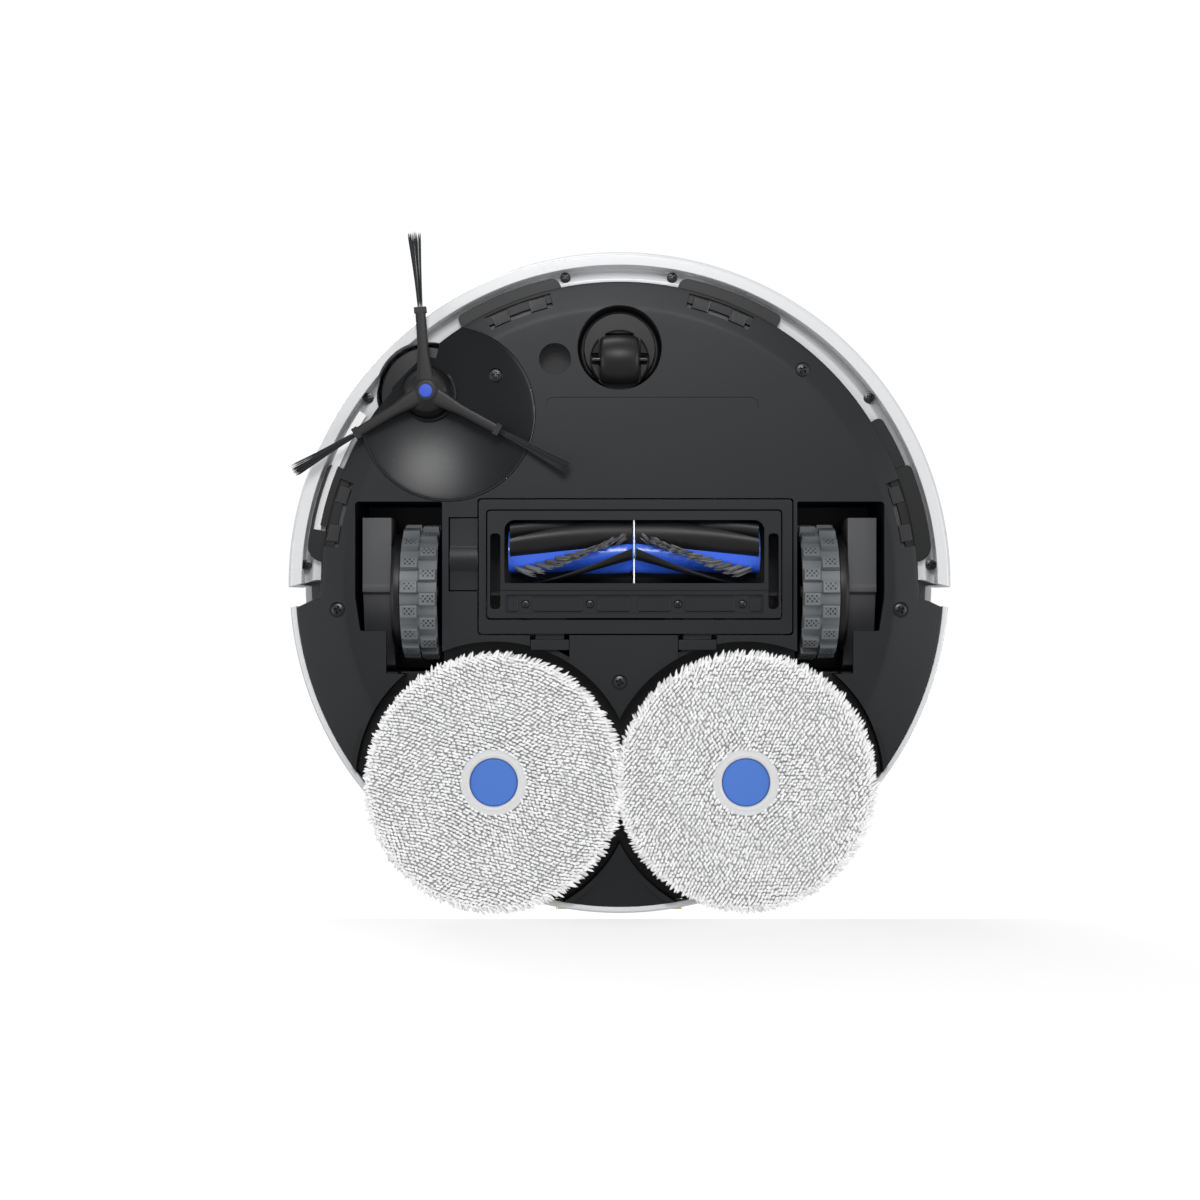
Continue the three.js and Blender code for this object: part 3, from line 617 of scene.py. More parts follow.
@dataclass(frozen=True)
class Strands(Finish):
    """Bristles or looped yarn, each strand with a tone of its own."""

    dark: Colour
    light: Colour
    roughness: float
    sheen: float = 0.0
    twist_per_m: float = 2400.0

    def wire(self, tree: bpy.types.NodeTree, shader: bpy.types.Node) -> None:
        """Sets up the shader's nodes."""
        tone = tone_value(tree)
        grain = place_group(tree, grain_group(), Grain_Scale=self.twist_per_m)
        blend = math_node(tree, "ADD", math_node(tree, "MULTIPLY", tone, 0.75),
                          math_node(tree, "MULTIPLY", grain.outputs["Height"], 0.3))
        tree.links.new(colour_mix(tree, blend, self.dark, self.light), shader.inputs["Base Color"])
        shader.inputs["Roughness"].default_value = self.roughness
        shader.inputs["Sheen Weight"].default_value = self.sheen
        shader.inputs["Sheen Roughness"].default_value = 0.6
        bumped(tree, shader, grain.outputs["Height"], 0.35, 0.08)


@dataclass(frozen=True)
class TreadRubber(Finish):
    """Tyre rubber: the moulded grain, with a fine sunk zigzag of dots wherever the mesh's tone is raised; the
    dots are also darkened in colour, which is painted shade inside them.
    """

    colour: Colour
    roughness: float

    def wire(self, tree: bpy.types.NodeTree, shader: bpy.types.Node) -> None:
        """Sets up the shader's nodes."""
        grain = place_group(tree, grain_group(), Grain_Scale=1800.0)
        tone = tone_value(tree)
        place = tree.nodes.new("ShaderNodeUVMap")
        split = tree.nodes.new("ShaderNodeSeparateXYZ")
        tree.links.new(place.outputs["UV"], split.inputs["Vector"])
        along = math_node(tree, "SINE", math_node(tree, "MULTIPLY", split.outputs["X"], 2 * math.pi * 5))
        across = math_node(tree, "SINE", math_node(tree, "MULTIPLY", split.outputs["Y"], 2 * math.pi * 4))
        dots = value_range(tree, math_node(tree, "MULTIPLY", along, across), 0.0, 1.0, 0.10, 0.35)
        dots = math_node(tree, "MULTIPLY", dots, tone)
        # The dots are darkened to 12% of the rubber's colour: painted shade inside the small sunk holes, on
        # top of their bump.
        dark = tuple(c * 0.12 for c in self.colour)
        tree.links.new(colour_mix(tree, dots, self.colour, dark), shader.inputs["Base Color"])
        shader.inputs["Roughness"].default_value = self.roughness
        height = math_node(tree, "SUBTRACT", math_node(tree, "MULTIPLY", grain.outputs["Height"], 0.15), dots)
        bumped(tree, shader, height, 0.5, 0.25)


BLACK_PLASTIC = Moulded("black_plastic", (0.0078, 0.0090, 0.0112), 0.42, scuffs=0.04, specular=0.32)
DARK_PLASTIC = Moulded("dark_plastic", (0.0065, 0.0068, 0.0072), 0.40, scuffs=0.05, specular=0.35)
GREY_PLASTIC = Moulded("grey_plastic", (0.062, 0.063, 0.069), 0.45, grain_per_m=2200.0, scuffs=0.05)
DISH_PLASTIC = Moulded("dish_plastic", (0.0068, 0.0078, 0.0096), 0.29, specular=0.24, grain_strength=0.03,
                       scuffs=0.0)
WHITE_PLASTIC = Moulded("white_plastic", (0.64, 0.645, 0.66), 0.28, grain_strength=0.03, drift=0.012,
                        scuffs=0.03, coat=0.25)
SATIN_WHITE = Moulded("satin_white", (0.63, 0.63, 0.62), 0.5, grain_strength=0.1, drift=0.02)
GLOSS_BLACK = Moulded("gloss_black", (0.006, 0.006, 0.008), 0.09, grain_strength=0.0, drift=0.3, coat=0.6)
LENS_BLACK = Moulded("lens_black", (0.02, 0.02, 0.022), 0.16, grain_strength=0.0, coat=0.4)
GREY_RUBBER = TreadRubber("grey_rubber", (0.125, 0.134, 0.142), 0.46)
BLACK_RUBBER = Moulded("black_rubber", (0.0060, 0.0061, 0.0066), 0.40, specular=0.36, grain_strength=0.1,
                       scuffs=0.05)
BLUE_CORE = Moulded("blue_core", (0.035, 0.13, 0.78), 0.26, grain_strength=0.04, drift=0.06, coat=0.3)
CAP_BLUE = Moulded("cap_blue", (0.015, 0.070, 0.50), 0.45, drift=0.05)
# Near-white, brighter than the white plastic: painted light for the insert under the side slot.
SLOT_PAINTED_LIGHT = Moulded("slot_white", (0.97, 0.97, 0.97), 0.6, grain_strength=0.0)
BLUE_PLASTIC = Moulded("blue_plastic", (0.052, 0.160, 0.54), 0.5, drift=0.05)
SMOKE_PLASTIC = Moulded("smoke_plastic", (0.14, 0.15, 0.16), 0.2, grain_strength=0.05, coat=0.3)
CIRCUIT_BOARD = Moulded("circuit_board", (0.02, 0.12, 0.06), 0.4)
BATTERY_WRAP = Moulded("battery_wrap", (0.03, 0.09, 0.17), 0.3)
STEEL = Metal("bright_steel", (0.74, 0.75, 0.77), 0.16)
SCREW_STEEL = Metal("black_screw", (0.055, 0.057, 0.06), 0.32)
CONTACT_METAL = Metal("contact_metal", (0.80, 0.66, 0.38), 0.2)
NYLON = Strands("nylon_bristle", (0.010, 0.011, 0.012), (0.045, 0.048, 0.052), 0.38)
GREY_TUFT = Strands("grey_tuft", (0.045, 0.045, 0.047), (0.20, 0.20, 0.205), 0.55)
# The dark end is reached only by the cushion and the seam grains: painted shade under and between the grains.
MICROFIBRE = Strands("microfibre", (0.34, 0.34, 0.345), (0.98, 0.98, 0.98), 0.92, sheen=0.3)

CAD_FINISHES = {
    BLACK_PLASTIC: ("base_plate", "mop_bay", "battery_cover", "brush_housing", "side_brush_bay",
                    "caster_socket",
                    "left_wheel_housing", "right_wheel_housing", "lidar_base", "caster_fork", "left_rim",
                    "right_rim", "brush_cover", "left_cover_latch", "right_cover_latch"),
    GREY_PLASTIC: ("chassis_wall", "brush_gearbox", "suction_fan", "left_drive_unit", "right_drive_unit",
                   "mop_carriage"),
    WHITE_PLASTIC: ("rear_shell", "top_shell", "lidar_cover", "top_lid", "power_button", "bumper",
                    "left_mop_disc", "right_mop_disc"),
    GLOSS_BLACK: ("carpet_sensor", "left_front_cliff_sensor", "left_side_cliff_sensor",
                  "right_front_cliff_sensor", "right_side_cliff_sensor", "lidar_rotor", "front_window"),
    GREY_RUBBER: ("left_tyre", "right_tyre"),
    BLACK_RUBBER: ("side_brush_hub", "caster_wheel", "brush_blades_left", "brush_blades_right",
                   "side_brush_bristles_1", "side_brush_bristles_2", "side_brush_bristles_3"),
    BLUE_PLASTIC: ("side_brush_cap", "brush_core", "left_mop_hub_cap", "right_mop_hub_cap"),
    SATIN_WHITE: ("left_mop_pad", "right_mop_pad"),
    STEEL: ("side_brush_motor", "caster_axle", "guard_wire"),
    CIRCUIT_BOARD: ("main_board",),
    BATTERY_WRAP: ("battery_pack",),
    SMOKE_PLASTIC: ("dust_bin", "water_tank"),
    CONTACT_METAL: ("left_charge_contact", "right_charge_contact"),
}


# ---- The workshop ---------------------------------------------------------------


@dataclass
class Workshop:
    """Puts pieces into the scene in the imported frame."""

    body_y: float

    def add(self, name: str, shape: Surface | bpy.types.Mesh, finish: Finish, body: str,
            slot: str, replaces: tuple[str, ...] = (), bevel_mm: float = 0.0, sharp: float = 35.0,
            tidy: bool = True) -> bpy.types.Object:
        """Makes one piece.

        Args:
            name: the piece's name.
            shape: a surface, or a mesh, in millimetres from the middle of the body.
            finish: what it is made of.
            body: the CAD body that it rides on.
            slot: the record's material slot; not used.
            replaces: CAD nodes that it stands for.
            bevel_mm: width of its rounded edges.
            sharp: edges that turn more than this many degrees stay sharp.
            tidy: merges doubles and turns the faces outwards.

        Returns:
            The new object.
        """
        mesh = mesh_of(name, shape) if isinstance(shape, Surface) else shape
        mesh.name = name
        if tidy:
            cleaned(mesh)
        mesh.transform(Matrix.Scale(MM, 4) @ Matrix.Translation((0, self.body_y, 0)))
        return self.finish(name, mesh, finish, body, slot, replaces, bevel_mm, sharp)

    def finish(self, name: str, mesh: bpy.types.Mesh, finish: Finish, body: str, slot: str,
               replaces: tuple[str, ...], bevel_mm: float, sharp: float) -> bpy.types.Object:
        """Turns a mesh that is already in metres into a finished piece; the arguments are those of add."""
        mesh.materials.clear()
        mesh.materials.append(finish.material())
        mesh.polygons.foreach_set("material_index", np.zeros(len(mesh.polygons), np.int32))
        mesh.polygons.foreach_set("use_smooth", np.ones(len(mesh.polygons), bool))
        mesh.set_sharp_from_angle(angle=math.radians(sharp))
        obj = placed(name, mesh)
        if bevel_mm:
            bevel = obj.modifiers.new("edge", "BEVEL")
            bevel.width = bevel_mm * MM
            bevel.segments = 2
            bevel.limit_method = "ANGLE"
            bevel.angle_limit = math.radians(38)
            bevel.use_clamp_overlap = True
            shading = obj.modifiers.new("shading", "WEIGHTED_NORMAL")
            shading.keep_sharp = True
        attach(obj, body)
        if replaces:
            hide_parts(*replaces)
        log.info("%s: %d faces on %s", name, len(mesh.polygons), body)
        return obj

    def softened(self, node: str, finish: Finish, body: str, slot: str,
                 bevel_mm: float = 0.3) -> bpy.types.Object:
        """A CAD node's own shape with its flats joined and its edges rounded."""
        mesh = frame["nodes"][node].data.copy()
        cleaned(mesh, distance=1e-6, flat_angle=0.6)
        return self.finish(node + "_moulding", mesh, finish, body, slot, (node,), bevel_mm, 35.0)


def dress_cad_nodes() -> None:
    """Gives every CAD node its finish."""
    for finish, names in CAD_FINISHES.items():
        for name in names:
            slots = frame["nodes"][name].data.materials
            slots.clear()
            slots.append(finish.material())


# ---- Set ------------------------------------------------------------------------


def filleted(corners: list[tuple[float, float, float]], steps: int = 5) -> Outline:
    """A closed outline with arcs for corners.

    Each arc touches both of its sides, radius / tan(half the corner's angle) away from the corner.

    Args:
        corners: (across, up, radius) of each corner.
        steps: stretches in each arc.

    Returns:
        The outline's points.
    """
    points = np.array([c[:2] for c in corners], float)
    out: Outline = []
    for i, (_, _, radius) in enumerate(corners):
        here, back, ahead = points[i], points[i - 1] - points[i], points[(i + 1) % len(points)] - points[i]
        if radius == 0:
            out.append(tuple(here))
            continue
        u, v = back / np.linalg.norm(back), ahead / np.linalg.norm(ahead)
        half = 0.5 * math.acos(float(np.clip(u @ v, -1, 1)))
        centre = here + (u + v) / np.linalg.norm(u + v) * radius / math.sin(half)
        first, last = here + u * radius / math.tan(half) - centre, here + v * radius / math.tan(half) - centre
        turn = math.atan2(first[0] * last[1] - first[1] * last[0], float(first @ last))
        for t in np.linspace(0, turn, steps + 1):
            c, s = math.cos(t), math.sin(t)
            out.append((centre[0] + c * first[0] - s * first[1], centre[1] + s * first[0] + c * first[1]))
    return out


@dataclass
class Studio:
    """The camera below the standing robot, its pale sweep, and soft lights."""

    eye: tuple[float, float, float] = (-0.01034, 0.013, -1.0)
    lens_mm: float = 57.7
    wall_y: float = 0.1788
    floor_half: float = 3.0

    def build(self) -> None:
        """Places everything that isn't the robot."""
        bpy.context.scene.view_settings.view_transform = "Standard"
        self.camera()
        self.world()
        self.sheets()
        self.light("key", (-0.04, -0.64, -1.2), (0, 0, 0.02), 0.42, 7.8)
        self.light("fill_left", (-1.25, 0.15, -0.75), (0, 0, 0.02), 0.8, 6.0)
        self.light("fill_right", (1.25, 0.0, -0.75), (0, 0, 0.02), 0.8, 7.5)
        self.light("front", (-0.35, -1.9, 0.5), (0, 0, 0.04), 1.0, 20.0)
        self.light("top_key", (-1.1, -1.1, 1.9), (0, 0, 0.05), 1.2, 26.0)
        self.light("top_fill", (1.5, 0.8, 1.5), (0, 0, 0.05), 1.2, 14.0)

    def camera(self) -> None:
        """A level view straight up at the underside."""
        data = bpy.data.cameras.new("camera")
        data.lens = self.lens_mm
        data.sensor_width = 36
        data.clip_start = 0.01
        camera = placed("camera", data)
        camera.location = self.eye
        camera.rotation_euler = (math.pi, 0, 0)
        bpy.context.scene.camera = camera

    def world(self) -> None:
        """White to the camera, softer to everything that it lights."""
        world = bpy.data.worlds.new("world")
        bpy.context.scene.world = world
        world.use_nodes = True
        tree = world.node_tree
        background = tree.nodes["Background"]
        path = tree.nodes.new("ShaderNodeLightPath")
        strength = value_range(tree, path.outputs["Is Camera Ray"], 0.5, 1.05)
        tree.links.new(strength, background.inputs["Strength"])
        background.inputs["Color"].default_value = (1, 1, 1, 1)

    def sheets(self) -> None:
        """The floor under the wheels, and the sheet below it that the robot's rear edge stands on."""
        h = self.floor_half
        floor = np.array([(-h, -h, 0), (h, -h, 0), (h, h, 0), (-h, h, 0)], float)
        y = self.wall_y
        back = np.array([(-h, y, -0.0005), (-h, y, -0.6), (h, y, -0.6), (h, y, -0.0005)], float)
        for name, corners, hidden in (("floor", floor, True), ("sweep", back, False)):
            mesh = bpy.data.meshes.new(name)
            mesh.from_pydata(corners.tolist(), [], [(0, 1, 2, 3)])
            mesh.materials.append(self.paper(name, 0.8 if hidden else 0.34, 0.0 if hidden else 0.6))
            obj = placed(name, mesh)
            obj.visible_shadow = False
            obj.visible_diffuse = False
            obj.visible_glossy = False
            obj.visible_transmission = False

    def paper(self, name: str, shade: float, glow: float) -> bpy.types.Material:
        """Matt white paper that is clear from behind."""
        material, tree, shader = empty_material(name + "_paper")
        shader.inputs["Base Color"].default_value = (shade, shade, shade, 1)
        shader.inputs["Roughness"].default_value = 1.0
        shader.inputs["Specular IOR Level"].default_value = 0.0
        shader.inputs["Emission Color"].default_value = (1, 1, 1, 1)
        shader.inputs["Emission Strength"].default_value = glow
        clear = tree.nodes.new("ShaderNodeBsdfTransparent")
        mix = tree.nodes.new("ShaderNodeMixShader")
        facing = tree.nodes.new("ShaderNodeNewGeometry")
        tree.links.new(facing.outputs["Backfacing"], mix.inputs[0])
        tree.links.new(shader.outputs[0], mix.inputs[1])
        tree.links.new(clear.outputs[0], mix.inputs[2])
        tree.links.new(mix.outputs[0], tree.nodes["Material Output"].inputs["Surface"])
        return material

    def light(self, name: str, place: tuple[float, float, float], target: tuple[float, float, float],
              size: float,
              watts: float) -> None:
        """A square soft light that looks at a target."""
        data = bpy.data.lights.new(name, "AREA")
        data.size = size
        data.energy = watts
        lamp = placed(name, data)
        lamp.location = place
        lamp.rotation_euler = (Vector(target) - Vector(place)).to_track_quat("-Z", "Y").to_euler()


# ---- Screws ---------------------------------------------------------------------


@dataclass
class Screw:
    """A cross-headed screw seen from below: a shallow crown with a cross sunk into it."""

    r: float = 3.2
    height: float = 1.6
    crown: float = 0.5
    cross_depth: float = 1.1
    rings: int = 16
    steps: int = 64

    def surface(self, x: float, y: float, z: float, turn: float = 20.0) -> Surface:
        """The head, its lowest point at z.

        z rises from the crown as crown (r/R)^2, and cross_depth more inside the two slots of the cross.
        """
        r = self.r * np.linspace(0, 1, self.rings) ** 0.8
        a = np.arange(self.steps) * 360.0 / self.steps
        flat = on_circle(r[None, :], a[:, None], 0 * r[None, :])
        c, s = math.cos(math.radians(turn)), math.sin(math.radians(turn))
        u = np.abs(flat[..., 0] * c + flat[..., 1] * s)
        v = np.abs(-flat[..., 0] * s + flat[..., 1] * c)
        narrow, wide = np.minimum(u, v), np.maximum(u, v)
        across, along = (0.20 * self.r - narrow) / (0.09 * self.r), (0.66 * self.r - wide) / (0.2 * self.r)
        slot = smooth_step(across) * smooth_step(along)
        flat[..., 2] = z + self.crown * (r[None, :] / self.r) ** 2 + self.cross_depth * slot
        side = on_circle(np.full((1, 2), self.r), a[:, None], np.array([[z + self.height, z + self.height]]))
        side[:, 1] = (0, 0, z + self.height)
        return grid(np.concatenate([flat, side], 1), wrap_u=True).moved(x, y)


# ---- Base -----------------------------------------------------------------------


@dataclass
class BaseMoulding:
    """The dark floor: a flat disc with a sloping rim, rounded front tabs, and every opening that shows."""

    flat_z: float = 11.0
    wall: float = 3.0
    slope_r: float = 144.4
    rim_r: float = 171.2
    rim_rise: float = 6.0
    crease: float = 1.2
    front_r: float = FRONT_R
    front_swell: float = 2.0
    corner_in: tuple[float, float] = (161.0, 8.5)
    corner_out: tuple[float, float] = (175.5, 15.0)
    tabs: tuple[tuple[float, float, float, float, float], ...] = (
        (11.2, 31.6, 164.6, 5.0, 3.2), (-31.6, -11.2, 164.6, 3.2, 5.0), (57.4, 67.6, 163.4, 3.2, 0.05),
        (67.6, 86.0, 165.8, 3.2, 9.0), (-86.0, -67.5, 165.8, 9.0, 3.2))
    tab_drop: float = 1.3
    side_slot: tuple[float, float, float, float] = (160.9, 164.3, -80.0, -57.0)
    screws: tuple[tuple[float, float], ...] = ((96.4, -112.0), (-148.6, 14.2), (147.9, 14.2), (0.0, 52.4))
    screw_recess: float = 4.2
    cliff_azimuths: tuple[float, ...] = (-76.2, -20.2, 20.2, 76.2)
    cliff_r: tuple[float, float] = (149.2, 157.0)
    cliff_spread: float = 6.7
    battery: tuple[float, float, float] = (-38.7, 72.7, -97.5)
    sensor: tuple[float, float, float] = (-34.0, -117.7, 8.4)
    caster: tuple[float, float, float] = (0.0, SWIVEL_Y, 22.3)
    pocket: tuple[float, float, float, float] = (*MOP_AXIS, 73.4, 24.0)
    spindle_r: float = 9.0
    well: tuple[float, ...] = (93.3, 139.2, 122.8, -42.8, 7.4, 25.3, 47.9)
    steps: int = 1080

    def under(self, r: np.ndarray) -> np.ndarray:
        """Height of the underside at radius r: flat, then a straight rise, with a soft bend between them.

        The run past slope_r is (d + sqrt(d^2 + crease^2)) / 2 with d = r - slope_r.
        """
        d = r - self.slope_r
        run = 0.5 * (d + np.sqrt(d * d + self.crease ** 2))
        return self.flat_z + self.rim_rise * run / (self.rim_r - self.slope_r)

    def edge(self, azimuth: np.ndarray) -> np.ndarray:
        """Outer radius at each azimuth: the short front edge, slanted corners, and the full rim.

        The front edge stands front_swell (cos^2 azimuth - 1/2) further out than front_r.
        """
        swell = np.cos(np.radians(azimuth)) ** 2 - 0.5
        r = self.front_r + self.front_swell * swell * (np.abs(azimuth) < 90)
        (x0, y0), (x1, y1) = self.corner_in, self.corner_out
        m = (y1 - y0) / (x1 - x0)
        a = np.radians(np.abs(azimuth))
        slant = (y0 - m * x0) / np.minimum(-np.cos(a) - m * np.sin(a), -1e-3)
        back = np.where(np.abs(azimuth) > 97, self.rim_r, np.clip(slant, self.front_r, self.rim_r))
        return np.where(np.abs(azimuth) > 93.08, back, r)

    def disc(self) -> Surface:
        """The solid disc: rings of points at set radii inside, and at set distances from the edge outside."""
        azimuth = (np.arange(self.steps) * 360.0 / self.steps - 180.0)[:, None]
        edge = self.edge(azimuth)
        inner = np.array([0, 45, 90, 120, 138, 142.5, 143.6, 144.4, 145.2, 146.3, 149.0])[None,
                :] + 0 * azimuth
        outer = 149.0 + (edge - 0.6 - 149.0) * np.array([[0.25, 0.5, 0.75, 1.0]])
        under = np.concatenate([inner, outer], 1)
        lip = edge - np.array([[0.25, 0.05, 0.0, 0.0, 0.05, 0.25]])
        lip_z = self.under(edge) + np.array([[0.04, 0.25, 0.6, self.wall - 0.6, self.wall - 0.25,
                                              self.wall - 0.04]])
        radius = np.concatenate([under, lip, under[:, ::-1]], 1)
        height = np.concatenate([self.under(under), lip_z, self.under(under[:, ::-1]) + self.wall], 1)
        return grid(on_circle(radius, azimuth, height), wrap_u=True)

    def tab(self, start: float, end: float, reach: float, first: float, last: float) -> Surface:
        """A flat tab past the front edge, its two outer corners rounded by radii first and last."""
        azimuth = np.linspace(start, end, 160)
        from_start = np.radians(azimuth - start) * reach
        from_end = np.radians(end - azimuth) * reach
        dip = [c - np.sqrt(np.clip(c * c - np.clip(c - d, 0, c) ** 2, 0, None))
               for c, d in ((first, from_start), (last, from_end))]
        outer = reach - dip[0] - dip[1]
        inner = np.full_like(azimuth, self.front_r - 6)
        rim = on_circle(np.concatenate([outer, inner]), np.concatenate([azimuth, azimuth[::-1]]),
                        np.zeros(320))
        low = float(self.under(np.array(self.front_r))) + self.tab_drop
        return prism(rim[:, :2], low, low + 2.6)

    def well_tool(self, side: Side) -> Surface:
        """The stepped opening of a drive wheel."""
        x0, x1, x2, y0, y1, y2, y3 = self.well
        corners = [(x0, y0, 1.0), (x1, y0, 2.0), (x1, y1, 1.0), (x1 - 2.7, y2, 1.0), (x2, y2, 0.6),
                   (x2, y3, 1.0), (x0, y3, 1.0)]
        return prism(filleted(corners), 0, 40).on_side(side)

    def seam_tool(self) -> Surface:
        """A fine groove along the front edge of the battery cover, turning down at its ends."""
        x0, x1, y = self.battery
        half, r, drop, n = 0.22, 4.0, 2.2, 8
        a = np.radians(np.linspace(180, 270, n))
        left = np.column_stack([np.cos(a), np.sin(a)])
        right = np.column_stack([-left[::-1, 0], left[::-1, 1]])

        def line(k: float) -> np.ndarray:
            """The seam's path, moved sideways by k."""
            return np.vstack([[(x0 - k, y + r + drop)], (x0 + r, y + r) + (r + k) * left,
                              (x1 - r, y + r) + (r + k) * right, [(x1 + k, y + r + drop)]])
        return prism(np.vstack([line(half), line(-half)[::-1]]), 0, self.flat_z + 0.5)

    def openings(self) -> list[Surface]:
        """Everything that is cut out of the disc."""
        px, py, pr, _ = self.pocket
        tools = [self.well_tool(side) for side in Side]
        tools.append(slab(-74.8, 91.4, -44.6, 27.5, 1.8, 0, CUT_TOP, 4))
        tools.append(box(-90, -72, -34.6, 4.5, 0, CUT_TOP))
        tools += [slab(a, b, 20, 41, 1.2, 0, CUT_TOP, 4) for a, b in ((-47.2, -26.4), (30.6, 51.2))]
        tools += twin_drums(px, py, pr, 0, CUT_TOP, 180)
        tools.append(drum(SideBrushBay.x, SideBrushBay.y, SideBrushBay.r + 0.3, 0, CUT_TOP, 144))
        tools += [drum(*self.caster, 0, CUT_TOP, 96), drum(*self.sensor, 0, CUT_TOP, 64)]
        for azimuth in self.cliff_azimuths:
            tools.append(sector(*self.cliff_r, azimuth - self.cliff_spread, azimuth + self.cliff_spread, 0,
                                CUT_TOP))
        for x, y in self.screws:
            tools.append(drum(x, y, self.screw_recess, 0, float(self.under(np.hypot(x, y))) + 1.8, 40))
        tools.append(self.seam_tool())
        return tools

    def build(self, shop: Workshop) -> None:
        """Makes the floor, its pocket roofs and its screws."""
        floor = carved("floor_moulding", closed_mesh("floor_moulding", self.disc()), self.openings())
        shop.add("floor_moulding", floor, BLACK_PLASTIC, "chassis", "black_plastic",
                 ("base_plate", "battery_cover"),
                 bevel_mm=0.22, sharp=25.0)
        self.front_tabs(shop)
        px, py, pr, roof = self.pocket
        body = carved("pockets", closed_mesh("pockets", drum(0, 0, self.rim_r - 0.4, 13.5, roof + 3, 240)),
                      twin_drums(px, py, pr + 2.6, 0, 60, 120), keep=True)
        cuts = twin_drums(px, py, pr, 0, roof, 120) + twin_drums(px, py, self.spindle_r, 0, 60, 48)
        body = carved("mop_pockets", body, cuts + [self.well_tool(side) for side in Side])
        shop.add("mop_pockets", body, DARK_PLASTIC, "chassis", "black_plastic", ("mop_bay",), bevel_mm=0.3)
        head = Screw()
        heads = [head.surface(x, y, float(self.under(np.hypot(x, y))) + 0.7, turn)
                 for (x, y), turn in zip(self.screws, (35, 10, 60, 15))]
        shop.add("base_screws", joined(heads), SCREW_STEEL, "chassis", "steel")
        self.cliff_sensors(shop)
        x, y, r = self.sensor
        well = revolved([(r + 0.2, 13.6), (r + 1.4, 13.6), (r + 1.4, 30), (0.01, 30), (0.01, 28.8),
                         (r - 0.4, 28.8),
                         (r - 0.2, 15)], 64, x, y)
        shop.add("carpet_sensor_well", well, LENS_BLACK, "chassis", "black_plastic", ("carpet_sensor",))

    def front_tabs(self, shop: Workshop) -> None:
        """The dark tabs between floor and bumper, with the long slot through the one beside the brush."""
        start, end, slot_from, slot_to = self.side_slot
        slots = [sector(start, end, slot_from, slot_to, 0, 30, 32),
                 sector(156, end, slot_from, slot_from + 0.9, 0, 30, 4)]
        for i, spec in enumerate(self.tabs):
            mesh = carved("tab", closed_mesh("tab", self.tab(*spec)), slots)
            shop.add(f"front_tab_{i + 1}", mesh, DARK_PLASTIC, "chassis", "black_plastic", bevel_mm=0.3)

    def cliff_sensors(self, shop: Workshop) -> None:
        """The four drop sensors: a recessed tray with two lens blocks in each."""
        r0, r1 = self.cliff_r
        trays, lenses = [], []
        for azimuth in self.cliff_azimuths:
            half = self.cliff_spread + 0.4
            trays.append(sector(r0 - 0.6, r1 + 0.5, azimuth - half, azimuth + half, 17.2, 18.4))
            for offset in (-3.9, 3.9):
                lenses.append(sector(r0 + 0.7, r1 - 0.7, azimuth + offset - 1.7, azimuth + offset + 1.7,
                                     14.6, 17.3, 6))
        nodes = tuple(f"{side.word}_{place}_cliff_sensor" for side in Side for place in ("front", "side"))
        shop.add("cliff_trays", joined(trays), GREY_PLASTIC, "chassis", "grey_plastic", bevel_mm=0.2)
        shop.add("cliff_lenses", joined(lenses), LENS_BLACK, "chassis", "gloss_black", nodes, bevel_mm=0.35)


# ---- Side brush -----------------------------------------------------------------


